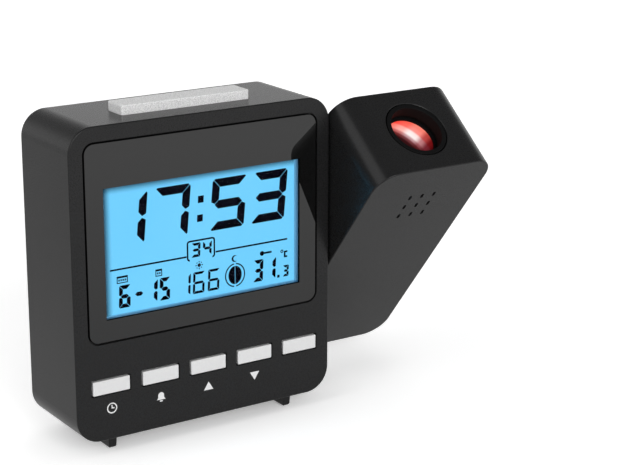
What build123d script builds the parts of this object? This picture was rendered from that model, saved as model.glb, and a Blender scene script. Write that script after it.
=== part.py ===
"""Projection alarm clock: a display case on two foot rails, with a projector arm turning on its right side.

Millimetres, +X to the right, +Y to the back, +Z up. The origin is under the middle of the whole clock,
on the surface that it stands on. The arm is drawn as it rests, with its top leaning forward.
"""
import os
from math import cos, radians, sin

from build123d import *

os.makedirs("parts", exist_ok=True)

# Case and arm: both have the same height, depth and corner radius
CASE_W = 90.0
CASE_H = 96.8
CASE_D = 31.5
CORNER_R = 8.0
EDGE_R = 0.4
WALL = 2.0
FRONT_WALL = 2.2
FOOT_H = 4.75
ARM_W = CASE_W / 2
ARM_WALL = 1.8
ARM_GAP = 0.6
ARM_LEAN = 39.0

# Covers let into the back of case and arm
COVER_T = 2.0
COVER_INSET = 0.3
LIP = 1.1
SEAM = 0.15
POST_PILOT_R = 1.0
PILOT_R = 0.75
PILOT_DEEP = 14.0
RIB_T = 1.0
FIT = 0.02
SCREW_R = 1.2
SCREW_HEAD_R = 2.3

# Display: window flush with the front, lit glass in a well behind it
WINDOW_W = 80.2
WINDOW_H = 60.8
WINDOW_R = 3.2
WINDOW_Z = 12.95
WINDOW_T = 1.0
WINDOW_GAP = 0.45
MASK_T = 0.1
VIEW_W = 68.2
VIEW_H = 40.2
VIEW_X = 0.3
VIEW_Z = 9.3
GLASS_FRONT = 4.0
GLASS_W = 72.0
GLASS_H = 45.0
GLASS_T = 1.1
BOARD_FRONT = 10.6
BOARD_T = 1.6

# Keys and bar
KEY_COUNT = 5
KEY_PITCH = 16.8
KEY_W = 12.3
KEY_H = 4.4
KEY_X = 0.25
KEY_Z = -31.3
KEY_PROUD = 0.3
KEY_GAP = 0.5
KEY_TRAVEL = 0.6
BAR_W = 44.1
BAR_D = 9.1
BAR_H = 2.85
BAR_X = -0.6
BAR_Y = -2.1
BAR_GAP = 0.3
BAR_TRAVEL = 0.8

# Battery bay for two AA cells
CELL_R = 7.1
CELL_L = 50.2
CELL_PITCH = 14.8
BAY_X = -2.0
BAY_Z = -20.4
BAY_W = 58.0
BAY_H = 30.2
BAY_WALL = 1.4
BAY_DEPTH = 16.6
DOOR_W = 61.0
DOOR_H = 34.0
DOOR_T = 1.7
DOOR_GAP = 0.2

# Pivot between case and arm
SHAFT_R = 5.0
SHAFT_BORE_R = 3.0
BUSH_R = 6.5
RUNNING = 0.05

# Projector, measured down the arm from its upper end face
RING_R = 10.1
RING_GAP = 0.35
RING_LIP_R = 8.6
RING_BORE_R = 9.1
LENS_R = 8.25
LENS_DOWN = 5.6
LENS_SAG = 2.2
HOUSING_R = 10.0
HOLE_PITCH = 4.67
HOLE_W = 1.05
HOLE_H = 2.1
HOLES_DOWN = 18.8

# Places worked out from these
CASE_X = -(ARM_GAP + ARM_W) / 2
ARM_X = (CASE_W + ARM_GAP) / 2
AXIS_Z = FOOT_H + CASE_H / 2
HALF_D = CASE_D / 2
HALF_H = CASE_H / 2
COVER_FACE = CASE_D - COVER_INSET
COVER_BACK = COVER_FACE - COVER_T
BOARD_BACK = BOARD_FRONT + BOARD_T
CASE_RIGHT = CASE_X + CASE_W / 2
ARM_LEFT = ARM_X - ARM_W / 2

LEAN = radians(ARM_LEAN)
ARM_UP = Vector(0, -sin(LEAN), cos(LEAN))
ARM_BACK = Vector(0, cos(LEAN), sin(LEAN))
ARM_CENTRE = Vector(ARM_X, 0, AXIS_Z)
ARM_TOP = ARM_CENTRE + ARM_UP * HALF_H
ARM_AXIS = Axis(ARM_TOP, ARM_UP)


def case_face(depth):
    """Upright plane on the case's middle, `depth` behind its front; it looks forward, so cuts go minus."""
    return Plane((CASE_X, depth - HALF_D, AXIS_Z), x_dir=(1, 0, 0), z_dir=(0, -1, 0))


def case_level(height):
    """Level plane on the case's middle, `height` above the middle of the case."""
    return Plane((CASE_X, 0, AXIS_Z + height))


def pivot_plane(x):
    """Plane across the pivot axis at `x`; its own axes are back and up."""
    return Plane((x, 0, AXIS_Z), x_dir=(0, 1, 0), z_dir=(1, 0, 0))


def arm_face(depth):
    """Plane across the arm's depth, `depth` behind the arm's front; it looks out of the arm's front."""
    return Plane(ARM_CENTRE + ARM_BACK * (depth - HALF_D), x_dir=(1, 0, 0), z_dir=-ARM_BACK)


def arm_end(down):
    """Plane across the arm's length, `down` below its upper end face; it looks out of that end."""
    return Plane(ARM_TOP - ARM_UP * down, x_dir=(1, 0, 0), z_dir=ARM_UP)


def arm_section():
    """Plane through the arm's long axis, with radius along x and the upper end face at y = 0."""
    return Plane(ARM_TOP, x_dir=(1, 0, 0), z_dir=-ARM_BACK)


def band(inner, outer, top, bottom):
    """Half section of a ring about the arm's long axis, from `top` to `bottom` below the end face."""
    with Locations(((inner + outer) / 2, -(top + bottom) / 2)):
        Rectangle(outer - inner, bottom - top)


def save(piece, name):
    """Label a finished piece and write it as a STEP file of its own."""
    piece.part.label = name
    export_step(piece.part, f"parts/{name}.step")


CASE_POSTS = [(x, z) for x in (-36.5, 36.5) for z in (-39.9, 39.9)]
FRAME_EARS = [(x, z) for x in (-40.2, 40.2) for z in (-13.0, 31.6)]
BOARD_FEET = [(x, -23.5) for x in (-40.2, 40.2)]
ARM_POSTS = [(x, y) for x in (-15.5, 15.5) for y in (-41.9, 41.9)]
KEY_PLACES = [(KEY_X + (i - (KEY_COUNT - 1) / 2) * KEY_PITCH, KEY_Z) for i in range(KEY_COUNT)]

# ---------------------------------------------------------------------------------------------------
# Case
# ---------------------------------------------------------------------------------------------------

# Front case: one deep moulding, closed at the front and open at the back
POST_R = 3.0
POST_RIB = 7.0
BOARD_POST_R = 1.9
EAR_FRONT = 6.0
SHELF_W = 46.0
SHELF_T = 1.4
SHELF_Z = 38.0
SHELF_END = 18.6
SPRING_PLACES = [(BAR_X - 18, BAR_Y), (BAR_X + 18, BAR_Y)]
SPRING_PEG_R = 1.3
PEG_PLACES = [(x, y) for x in (-31.5, 31.5) for y in (-8.0, 8.0)]
PEG_R = 1.2
with BuildPart() as front_case:
    with BuildSketch(case_face(0)):
        RectangleRounded(CASE_W, CASE_H, CORNER_R)
    extrude(amount=-CASE_D)
    case_ends = front_case.faces().filter_by(Axis.Y)
    fillet(case_ends.edges(), EDGE_R)
    with BuildSketch(case_face(FRONT_WALL)):
        RectangleRounded(CASE_W - 2 * WALL, CASE_H - 2 * WALL, CORNER_R - WALL)
    extrude(amount=-CASE_D, mode=Mode.SUBTRACT)
    # Rebate that the rear cover drops into
    with BuildSketch(case_face(COVER_BACK)):
        RectangleRounded(CASE_W - 2 * LIP, CASE_H - 2 * LIP, CORNER_R - LIP)
    extrude(amount=-CASE_D, mode=Mode.SUBTRACT)
    # Screw posts of the rear cover, each tied to both walls beside it by a rib
    with BuildSketch(case_face(FRONT_WALL)):
        with Locations(*CASE_POSTS):
            Circle(POST_R)
        with Locations(*[(x * 1.11, z) for x, z in CASE_POSTS]):
            Rectangle(POST_RIB, RIB_T)
        with Locations(*[(x, z * 1.1) for x, z in CASE_POSTS]):
            Rectangle(RIB_T, POST_RIB)
    extrude(amount=-(COVER_BACK - FRONT_WALL))
    # Short posts under the display frame's ears, and two longer ones under the main board
    for places, post_end in ((FRAME_EARS, EAR_FRONT), (BOARD_FEET, BOARD_FRONT)):
        with BuildSketch(case_face(FRONT_WALL)):
            with Locations(*places):
                Circle(BOARD_POST_R)
        extrude(amount=-(post_end - FRONT_WALL))
    # Shelf under the bar for its springs and switch, with a spring peg at each end
    with BuildSketch(case_face(FRONT_WALL)):
        with Locations((BAR_X, SHELF_Z - SHELF_T / 2)):
            Rectangle(SHELF_W, SHELF_T)
    extrude(amount=-(SHELF_END - FRONT_WALL))
    with BuildSketch(case_level(SHELF_Z)):
        with Locations(*SPRING_PLACES):
            Circle(SPRING_PEG_R)
    extrude(amount=1.5)
    # Pilot holes of all posts
    with BuildSketch(case_face(COVER_BACK)):
        with Locations(*CASE_POSTS):
            Circle(POST_PILOT_R)
    extrude(amount=PILOT_DEEP, mode=Mode.SUBTRACT)
    with BuildSketch(case_face(BOARD_FRONT)):
        with Locations(*FRAME_EARS, *BOARD_FEET):
            Circle(PILOT_R)
    extrude(amount=BOARD_FRONT - FRONT_WALL, mode=Mode.SUBTRACT)
    # Window recess, well behind it, key openings
    with BuildSketch(case_face(0)):
        with Locations((0, WINDOW_Z)):
            RectangleRounded(WINDOW_W + 2 * WINDOW_GAP, WINDOW_H + 2 * WINDOW_GAP, WINDOW_R + WINDOW_GAP)
    extrude(amount=-(WINDOW_T + MASK_T), mode=Mode.SUBTRACT)
    with BuildSketch(case_face(0)):
        with Locations((VIEW_X, VIEW_Z)):
            Rectangle(VIEW_W + 2.0, VIEW_H + 2.0)
        with Locations(*KEY_PLACES):
            RectangleRounded(KEY_W + 2 * KEY_GAP, KEY_H + 2 * KEY_GAP, 0.4)
    extrude(amount=-FRONT_WALL, mode=Mode.SUBTRACT)
    # Slot of the bar in the top
    with BuildSketch(case_level(HALF_H)):
        with Locations((BAR_X, BAR_Y)):
            RectangleRounded(BAR_W + 2 * BAR_GAP, BAR_D + 2 * BAR_GAP, 1.0)
    extrude(amount=-WALL, mode=Mode.SUBTRACT)
    # Hole of the pivot's bush in the right wall
    with BuildSketch(pivot_plane(CASE_RIGHT)):
        Circle(BUSH_R + FIT)
    extrude(amount=-WALL, mode=Mode.SUBTRACT)
    # Holes in the bottom for the pegs of the foot rails
    with BuildSketch(case_level(-HALF_H)):
        with Locations(*PEG_PLACES):
            Circle(PEG_R + FIT)
    extrude(amount=WALL, mode=Mode.SUBTRACT)
save(front_case, "front_case")

# Foot rails: two narrow runners from front to back, rounded underneath, held by two pegs each
RAIL_W = 3.0
RAIL_FRONT = 3.8
with BuildPart() as foot_rails:
    with BuildSketch(case_level(-HALF_H)):
        with Locations(*{(x, 0) for x, y in PEG_PLACES}):
            Rectangle(RAIL_W, CASE_D - 2 * RAIL_FRONT)
    extrude(amount=-FOOT_H, taper=3)
    fillet(foot_rails.faces().sort_by(Axis.Z)[:2].edges(), 0.9)
    with BuildSketch(case_level(-HALF_H)):
        with Locations(*PEG_PLACES):
            Circle(PEG_R)
    extrude(amount=WALL - 0.2)
save(foot_rails, "foot_rails")

# Display window: clear pane with softened edges, flush with the case's front
with BuildPart() as display_window:
    with BuildSketch(case_face(0)):
        with Locations((0, WINDOW_Z)):
            RectangleRounded(WINDOW_W, WINDOW_H, WINDOW_R)
    extrude(amount=-WINDOW_T)
    chamfer(display_window.faces().sort_by(Axis.Y)[0].edges(), 0.2)
save(display_window, "display_window")

# Window mask: dark film on the pane's back, with a rounded view in it
with BuildPart() as window_mask:
    with BuildSketch(case_face(WINDOW_T)):
        with Locations((0, WINDOW_Z)):
            RectangleRounded(WINDOW_W - 0.4, WINDOW_H - 0.4, WINDOW_R - 0.2)
        with Locations((VIEW_X, VIEW_Z)):
            RectangleRounded(VIEW_W, VIEW_H, 0.5, mode=Mode.SUBTRACT)
    extrude(amount=-MASK_T)
save(window_mask, "window_mask")

# Display frame: pale box round the glass; its front lip comes through the case to the mask
FRAME_T = 1.0
FRAME_W = GLASS_W + 2 * FRAME_T + 0.4
FRAME_H = GLASS_H + 2 * FRAME_T + 0.4
with BuildPart() as lcd_frame:
    with BuildSketch(case_face(FRONT_WALL + 0.1)):
        with Locations((VIEW_X, VIEW_Z)):
            RectangleRounded(FRAME_W, FRAME_H, 1.0)
    extrude(amount=-(BOARD_FRONT - FRONT_WALL - 0.2))
    with BuildSketch(case_face(WINDOW_T + MASK_T + FIT)):
        with Locations((VIEW_X, VIEW_Z)):
            Rectangle(VIEW_W + 1.6, VIEW_H + 1.6)
    extrude(amount=-2.0)
    with BuildSketch(case_face(0)):
        with Locations((VIEW_X, VIEW_Z)):
            Rectangle(VIEW_W, VIEW_H)
    extrude(amount=-CASE_D, mode=Mode.SUBTRACT)
    with BuildSketch(case_face(GLASS_FRONT - FIT)):
        with Locations((VIEW_X, VIEW_Z)):
            Rectangle(GLASS_W + 0.4, GLASS_H + 0.4)
    extrude(amount=-CASE_D, mode=Mode.SUBTRACT)
    # Ears between the short posts and the board
    with BuildSketch(case_face(EAR_FRONT + 0.05)):
        with Locations(*FRAME_EARS):
            Circle(BOARD_POST_R)
        for side in (-1, 1):
            with Locations(*[(VIEW_X + side * (FRAME_W / 2 + 0.9), z) for x, z in FRAME_EARS if x > 0]):
                Rectangle(3.2, 2.4)
        with Locations(*FRAME_EARS):
            Circle(0.9, mode=Mode.SUBTRACT)
    extrude(amount=-(BOARD_FRONT - EAR_FRONT - 0.1))
save(lcd_frame, "lcd_frame")

# Display glass: two bonded plates; the rear one stops short below and leaves the contact ledge
LEDGE_H = 2.6
POLARISER_T = 0.2
with BuildPart() as lcd_glass:
    with BuildSketch(case_face(GLASS_FRONT + POLARISER_T)):
        with Locations((VIEW_X, VIEW_Z)):
            Rectangle(GLASS_W, GLASS_H)
    extrude(amount=-GLASS_T)
    with BuildSketch(case_face(GLASS_FRONT + POLARISER_T + GLASS_T)):
        with Locations((VIEW_X, VIEW_Z + LEDGE_H / 2)):
            Rectangle(GLASS_W, GLASS_H - LEDGE_H)
    extrude(amount=-GLASS_T)
save(lcd_glass, "lcd_glass")

# Polarisers: one film on each side of the glass
STACK = GLASS_FRONT + 2 * POLARISER_T + 2 * GLASS_T
with BuildPart() as lcd_polarisers:
    for depth, ledge in ((GLASS_FRONT, 0), (STACK - POLARISER_T, LEDGE_H)):
        with BuildSketch(case_face(depth)):
            with Locations((VIEW_X, VIEW_Z + ledge / 2)):
                Rectangle(GLASS_W - 1.0, GLASS_H - ledge - 1.0)
        extrude(amount=-POLARISER_T)
save(lcd_polarisers, "lcd_polarisers")

# Backlight: diffuser film, light guide with lamp pockets at its left edge, reflector film
GUIDE_T = 2.9
LAMP_T = 2.0
LAMP_Z = (VIEW_Z + LEDGE_H / 2 - 10, VIEW_Z + LEDGE_H / 2 + 10)
GUIDE_W = GLASS_W - 4.0
GUIDE_H = GLASS_H - LEDGE_H - 2.0
with BuildPart() as diffuser:
    with BuildSketch(case_face(STACK + 0.05)):
        with Locations((VIEW_X, VIEW_Z + LEDGE_H / 2)):
            Rectangle(GUIDE_W, GUIDE_H)
    extrude(amount=-0.25)
save(diffuser, "diffuser")

with BuildPart() as light_guide:
    with BuildSketch(case_face(STACK + 0.3)):
        with Locations((VIEW_X, VIEW_Z + LEDGE_H / 2)):
            Rectangle(GUIDE_W, GUIDE_H)
        with Locations(*[(VIEW_X - GUIDE_W / 2 + 0.6, z) for z in LAMP_Z]):
            Rectangle(1.2, 4.4, mode=Mode.SUBTRACT)
    extrude(amount=-GUIDE_T)
save(light_guide, "light_guide")

with BuildPart() as backlight_lamps:
    with BuildSketch(case_face(STACK + 0.7)):
        with Locations(*[(VIEW_X - GUIDE_W / 2 + 0.1, z) for z in LAMP_Z]):
            Rectangle(1.8, 4.0)
    extrude(amount=-LAMP_T)
save(backlight_lamps, "backlight_lamps")

with BuildPart() as reflector:
    with BuildSketch(case_face(STACK + 0.3 + GUIDE_T)):
        with Locations((VIEW_X, VIEW_Z + LEDGE_H / 2)):
            Rectangle(GUIDE_W, GUIDE_H)
    extrude(amount=-0.2)
save(reflector, "reflector")

# Contact strip: striped rubber between the glass ledge and the board
with BuildPart() as contact_strip:
    with BuildSketch(case_face(GLASS_FRONT + POLARISER_T + GLASS_T + FIT)):
        with Locations((VIEW_X, VIEW_Z - GLASS_H / 2 + 1.2)):
            Rectangle(VIEW_W - 2.0, 1.6)
    extrude(amount=-(BOARD_FRONT - GLASS_FRONT - POLARISER_T - GLASS_T - 2 * FIT))
save(contact_strip, "contact_strip")

# Main board, notched on the right beside the pivot
MAIN_W = 84.6
MAIN_H = 71.6
with BuildPart() as main_board:
    with BuildSketch(case_face(BOARD_FRONT)):
        RectangleRounded(MAIN_W, MAIN_H, 1.0)
        with Locations((MAIN_W / 2, 0)):
            RectangleRounded(9.0, 20.0, 1.0, mode=Mode.SUBTRACT)
        with Locations(*FRAME_EARS, *BOARD_FEET):
            Circle(1.0, mode=Mode.SUBTRACT)
    extrude(amount=-BOARD_T)
save(main_board, "main_board")


def pan_head_screws(plane, places, shank_r, head_r, head_t, length):
    """Round-headed screws that look out of `plane`, with a cross slot in each head."""
    with BuildPart() as screws:
        with BuildSketch(plane):
            with Locations(*places):
                Circle(shank_r)
        extrude(amount=-length)
        with BuildSketch(plane):
            with Locations(*places):
                Circle(head_r)
        extrude(amount=head_t)
        rims = screws.faces().sort_by(Axis(plane.origin, plane.z_dir))[-len(places):]
        fillet(rims.edges(), head_t * 0.45)
        with BuildSketch(plane.offset(head_t)):
            with Locations(*places):
                Rectangle(head_r * 1.1, head_r * 0.3)
                Rectangle(head_r * 0.3, head_r * 1.1)
        extrude(amount=-head_t * 0.55, mode=Mode.SUBTRACT)
    return screws


def facing_back(plane):
    """The same plane, looking the other way, with its own y axis still up."""
    return Plane(plane.origin, x_dir=-plane.x_dir, z_dir=-plane.z_dir)


def mirrored(places):
    """Places as they read on a plane that looks the other way."""
    return [(-x, y) for x, y in places]


# Board screws: from behind, through board and frame ears into the posts
BOARD_HOLES = mirrored(FRAME_EARS + BOARD_FEET)
board_screws = pan_head_screws(facing_back(case_face(BOARD_BACK + FIT)), BOARD_HOLES, 0.7, 1.8, 1.1, 7.5)
save(board_screws, "board_screws")

# Driver chip under a drop of black resin, crystal, temperature bead and wire socket on the board's back
with BuildPart() as driver_chip:
    with BuildSketch(case_face(BOARD_BACK)):
        with Locations((-10, 21)):
            Circle(6.5)
    extrude(amount=-1.6, taper=25)
    fillet(driver_chip.faces().sort_by(Axis.Y)[-1].edges(), 0.7)
save(driver_chip, "driver_chip")

LEG_R = 0.2
CRYSTAL_Y = BOARD_BACK + 1.6 - HALF_D
with BuildPart() as quartz_crystal:
    with BuildSketch(case_level(18)):
        with Locations((8, CRYSTAL_Y)):
            Circle(1.5)
    extrude(amount=8)
    fillet(quartz_crystal.edges().sort_by(Axis.Z)[-1], 0.4)
    with BuildSketch(case_level(18)):
        with Locations((7.4, CRYSTAL_Y), (8.6, CRYSTAL_Y)):
            Circle(LEG_R)
    extrude(amount=-2.5)
save(quartz_crystal, "quartz_crystal")

BEAD_Y = BOARD_BACK + 1.8 - HALF_D
with BuildPart() as temperature_sensor:
    with BuildSketch(case_level(-26)):
        with Locations((-38, BEAD_Y)):
            Circle(1.2)
    extrude(amount=-3.2)
    fillet(temperature_sensor.edges().filter_by(GeomType.CIRCLE), 0.9)
    with BuildSketch(case_level(-26.2)):
        with Locations((-38.5, BEAD_Y), (-37.5, BEAD_Y)):
            Circle(LEG_R)
    extrude(amount=5)
save(temperature_sensor, "temperature_sensor")

SOCKET_RIGHT = 36.6
with BuildPart() as wire_socket:
    with BuildSketch(case_face(BOARD_BACK)):
        with Locations((SOCKET_RIGHT - 3, 0)):
            Rectangle(6.0, 9.0)
    extrude(amount=-6.2)
    with BuildSketch(pivot_plane(CASE_X + SOCKET_RIGHT)):
        Rectangle(3.8, 7.0)
    extrude(amount=-4.5, mode=Mode.SUBTRACT)
save(wire_socket, "wire_socket")

# Key mat: rubber sheet on the board with a hollow dome behind each key
MAT_T = 1.2
DOME_TOP = 6.3
with BuildPart() as key_mat:
    with BuildSketch(case_face(BOARD_FRONT)):
        with Locations((0, KEY_Z)):
            RectangleRounded(76.0, 7.6, 1.0)
    extrude(amount=MAT_T)
    with BuildSketch(case_face(BOARD_FRONT - MAT_T)):
        with Locations(*KEY_PLACES):
            Circle(3.2)
    extrude(amount=BOARD_FRONT - MAT_T - DOME_TOP, taper=18)
    with BuildSketch(case_face(BOARD_FRONT)):
        with Locations(*KEY_PLACES):
            Circle(2.8)
    extrude(amount=2.6, taper=18, mode=Mode.SUBTRACT)
save(key_mat, "key_mat")

# Five keys: a cap in the front wall, a collar behind it, and a stem to the dome
COLLAR = 0.9
KEY_BACK = FRONT_WALL + 0.1
KEY_FLANGE_T = 1.0
STEM_W = 3.6
STEM_T = 0.9
for number, (key_x, key_z) in enumerate(KEY_PLACES, start=1):
    with BuildPart() as key:
        with BuildSketch(case_face(KEY_BACK)):
            with Locations((key_x, key_z)):
                RectangleRounded(KEY_W, KEY_H, 0.3)
        extrude(amount=KEY_BACK + KEY_PROUD)
        fillet(key.faces().sort_by(Axis.Y)[0].edges(), 0.2)
        with BuildSketch(case_face(KEY_BACK)):
            with Locations((key_x, key_z)):
                RectangleRounded(KEY_W + 2 * COLLAR, KEY_H + 2 * COLLAR, 0.6)
        extrude(amount=-KEY_FLANGE_T)
        with BuildSketch(case_face(KEY_BACK + KEY_FLANGE_T)):
            with Locations((key_x, key_z)):
                Rectangle(STEM_W, STEM_T)
                Rectangle(STEM_T, STEM_W)
        extrude(amount=-(DOME_TOP - KEY_TRAVEL - 0.05 - KEY_BACK - KEY_FLANGE_T))
    save(key, f"key_{number}")

# ---------------------------------------------------------------------------------------------------
# Bar on the top
# ---------------------------------------------------------------------------------------------------

# Snooze bar: shallow cap with softened edges, a collar under the top wall, and spring and switch pegs
BAR_UNDER = HALF_H - WALL - 0.15
COLLAR_T = 1.2
SWITCH_TOP = 43.5
with BuildPart() as snooze_bar:
    with BuildSketch(case_level(BAR_UNDER)):
        with Locations((BAR_X, BAR_Y)):
            RectangleRounded(BAR_W, BAR_D, 0.8)
    extrude(amount=HALF_H + BAR_H - BAR_UNDER)
    fillet(snooze_bar.faces().sort_by(Axis.Z)[-1].edges(), 0.35)
    with BuildSketch(case_level(BAR_UNDER)):
        with Locations((BAR_X, BAR_Y)):
            RectangleRounded(BAR_W + 3.4, BAR_D + 3.0, 1.2)
    extrude(amount=-COLLAR_T)
    with BuildSketch(case_level(BAR_UNDER - COLLAR_T)):
        with Locations(*SPRING_PLACES):
            Circle(SPRING_PEG_R)
    extrude(amount=-2.0)
    with BuildSketch(case_level(BAR_UNDER - COLLAR_T)):
        with Locations((BAR_X, BAR_Y)):
            Circle(2.0)
    extrude(amount=-(BAR_UNDER - COLLAR_T - SWITCH_TOP - BAR_TRAVEL - 0.05))
save(snooze_bar, "snooze_bar")

# Return springs of the bar, on the pegs between shelf and collar
SPRING_WIRE = 0.25
SPRING_R = 1.9
SPRING_FOOT = SHELF_Z + SPRING_WIRE
SPRING_H = BAR_UNDER - COLLAR_T - SHELF_Z - 2 * SPRING_WIRE
with BuildPart() as bar_springs:
    for spring_x, spring_y in SPRING_PLACES:
        foot = (CASE_X + spring_x, spring_y, AXIS_Z + SPRING_FOOT)
        with BuildLine():
            coil = Helix(pitch=SPRING_H / 5, height=SPRING_H, radius=SPRING_R, center=foot)
        with BuildSketch(Plane(coil @ 0, z_dir=coil % 0)):
            Circle(SPRING_WIRE)
        sweep(path=coil, is_frenet=True)
save(bar_springs, "bar_springs")

# Switch of the bar on its own small board
with BuildPart() as snooze_board:
    with BuildSketch(case_level(SHELF_Z)):
        with Locations((BAR_X, BAR_Y)):
            Rectangle(20.0, 8.0)
    extrude(amount=1.2)
save(snooze_board, "snooze_board")

with BuildPart() as snooze_switch:
    with BuildSketch(case_level(SHELF_Z + 1.2)):
        with Locations((BAR_X, BAR_Y)):
            RectangleRounded(6.0, 6.0, 0.4)
    extrude(amount=3.5)
    with BuildSketch(case_level(SHELF_Z + 4.7)):
        with Locations((BAR_X, BAR_Y)):
            Circle(1.7)
    extrude(amount=SWITCH_TOP - SHELF_Z - 4.7)
save(snooze_switch, "snooze_switch")

# ---------------------------------------------------------------------------------------------------
# Back of the case
# ---------------------------------------------------------------------------------------------------

# Rear cover: plate let into the case, with the battery bay moulded on its inside
INLET_X = -30.0
INLET_Z = 28.0
INLET_HOLE_R = 4.0
HINGE_DEPTH = COVER_FACE - DOOR_T / 2
HINGE_Z = BAY_Z - DOOR_H / 2 + DOOR_T / 2
PIN_R = 0.55
PIN_L = 1.0
HEAD_SUNK = 1.0
HINGE_Y = HINGE_DEPTH - HALF_D
hinge_plane = Plane((CASE_X + BAY_X, HINGE_Y, AXIS_Z + HINGE_Z), x_dir=(0, 1, 0), z_dir=(1, 0, 0))
with BuildPart() as rear_cover:
    with BuildSketch(case_face(COVER_FACE)):
        RectangleRounded(CASE_W - 2 * LIP - 2 * SEAM, CASE_H - 2 * LIP - 2 * SEAM, CORNER_R - LIP - SEAM)
    extrude(amount=COVER_T)
    fillet(rear_cover.faces().sort_by(Axis.Y)[-1].edges(), 0.3)
    with BuildSketch(case_face(COVER_FACE - 1)):
        with Locations((BAY_X, BAY_Z)):
            RectangleRounded(BAY_W + 2 * BAY_WALL, BAY_H + 2 * BAY_WALL, 1.5)
    extrude(amount=BAY_DEPTH + BAY_WALL - 1)
    with BuildSketch(case_face(COVER_FACE)):
        with Locations((BAY_X, BAY_Z)):
            Rectangle(BAY_W, BAY_H)
    extrude(amount=BAY_DEPTH, mode=Mode.SUBTRACT)
    # Low ridge that keeps the two cells apart
    with BuildSketch(case_face(COVER_FACE - BAY_DEPTH)):
        with Locations((BAY_X, BAY_Z)):
            Rectangle(40.0, 2.4)
    extrude(amount=-2.6, taper=20)
    # Rebate, pin holes and finger notch of the door
    with BuildSketch(case_face(COVER_FACE)):
        with Locations((BAY_X, BAY_Z)):
            Rectangle(DOOR_W + 2 * DOOR_GAP, DOOR_H + 2 * DOOR_GAP)
        with Locations((BAY_X, BAY_Z + DOOR_H / 2)):
            SlotOverall(14.0, 6.0)
    extrude(amount=DOOR_T + 0.05, mode=Mode.SUBTRACT)
    with BuildSketch(hinge_plane):
        Circle(PIN_R + RUNNING)
    extrude(amount=DOOR_W / 2 + DOOR_GAP + PIN_L, both=True, mode=Mode.SUBTRACT)
    # Screw holes, sunk for the heads, and the hole over the inlet
    with Locations(*[facing_back(case_face(COVER_FACE)) * Location((-x, z, 0)) for x, z in CASE_POSTS]):
        CounterBoreHole(SCREW_R, SCREW_HEAD_R + 0.2, HEAD_SUNK)
    with BuildSketch(case_face(COVER_FACE)):
        with Locations((INLET_X, INLET_Z)):
            Circle(INLET_HOLE_R)
    extrude(amount=COVER_T, mode=Mode.SUBTRACT)
save(rear_cover, "rear_cover")

# Battery door: plate with a full-round lower edge on two hinge pins, ribs, and a sprung latch tongue
with BuildPart() as battery_door:
    with BuildSketch(case_face(COVER_FACE)):
        with Locations((BAY_X, BAY_Z)):
            RectangleRounded(DOOR_W, DOOR_H, 0.6)
    extrude(amount=DOOR_T)
    low_edges = battery_door.edges().filter_by(Axis.X).group_by(Axis.Z)[0]
    fillet(low_edges, DOOR_T / 2 - 0.01)
    with BuildSketch(hinge_plane):
        Circle(PIN_R)
    extrude(amount=DOOR_W / 2 + DOOR_GAP + PIN_L - 0.15, both=True)
    # Slits that free the latch tongue, and grip ridges on it
    with BuildSketch(case_face(COVER_FACE)):
        with Locations(*[(BAY_X + x, BAY_Z + DOOR_H / 2 - 3.5) for x in (-5.5, 5.5)]):
            Rectangle(0.7, 8.0)
    extrude(amount=DOOR_T, mode=Mode.SUBTRACT)
    with BuildSketch(case_face(COVER_FACE)):
        with Locations((BAY_X, BAY_Z + DOOR_H / 2 - 4.2)):
            with GridLocations(1, 1.6, 1, 4):
                Rectangle(8.0, 0.7)
    extrude(amount=0.4, mode=Mode.SUBTRACT)
save(battery_door, "battery_door")

# Cover screws, sunk into the rear cover
COVER_SHANK_R = 0.95
COVER_HEAD_T = 0.9
case_screws = pan_head_screws(facing_back(case_face(COVER_FACE - HEAD_SUNK + FIT)), mirrored(CASE_POSTS),
                              COVER_SHANK_R, SCREW_HEAD_R, COVER_HEAD_T, 9)
save(case_screws, "case_screws")

# Two AA cells that lie head to tail
CELL_DEPTH = COVER_FACE - BAY_DEPTH + 0.25 + CELL_R
PLATE_T = 0.4
NUB_R = 2.7
NUB_L = 1.2
for number, (side, row) in enumerate(((1, 1), (-1, -1)), start=1):
    nub_x = CASE_X + BAY_X + side * (BAY_W / 2 - PLATE_T - 0.05)
    cell_z = AXIS_Z + BAY_Z + row * CELL_PITCH / 2
    nub_end = Plane((nub_x, CELL_DEPTH - HALF_D, cell_z), x_dir=(0, 1, 0), z_dir=(-side, 0, 0))
    with BuildPart() as cell:
        with BuildSketch(nub_end):
            Circle(NUB_R)
        extrude(amount=NUB_L)
        with BuildSketch(nub_end.offset(NUB_L)):
            Circle(CELL_R)
        extrude(amount=CELL_L - NUB_L)
        fillet(cell.edges().filter_by(GeomType.CIRCLE).filter_by(lambda e: e.radius > CELL_R - 0.1), 0.5)
    save(cell, f"battery_{number}")

# Flat contacts at the cells' heads and at the springs' feet, standing against the bay's ends
with BuildPart() as contact_plates:
    for end in (-1, 1):
        with BuildSketch(Plane((CASE_X + BAY_X + end * BAY_W / 2, CELL_DEPTH - HALF_D, AXIS_Z + BAY_Z),
                               x_dir=(0, 1, 0), z_dir=(-end, 0, 0))):
            with Locations((0, CELL_PITCH / 2), (0, -CELL_PITCH / 2)):
                RectangleRounded(11.0, 11.0, 1.0)
        extrude(amount=PLATE_T)
save(contact_plates, "contact_plates")

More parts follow.
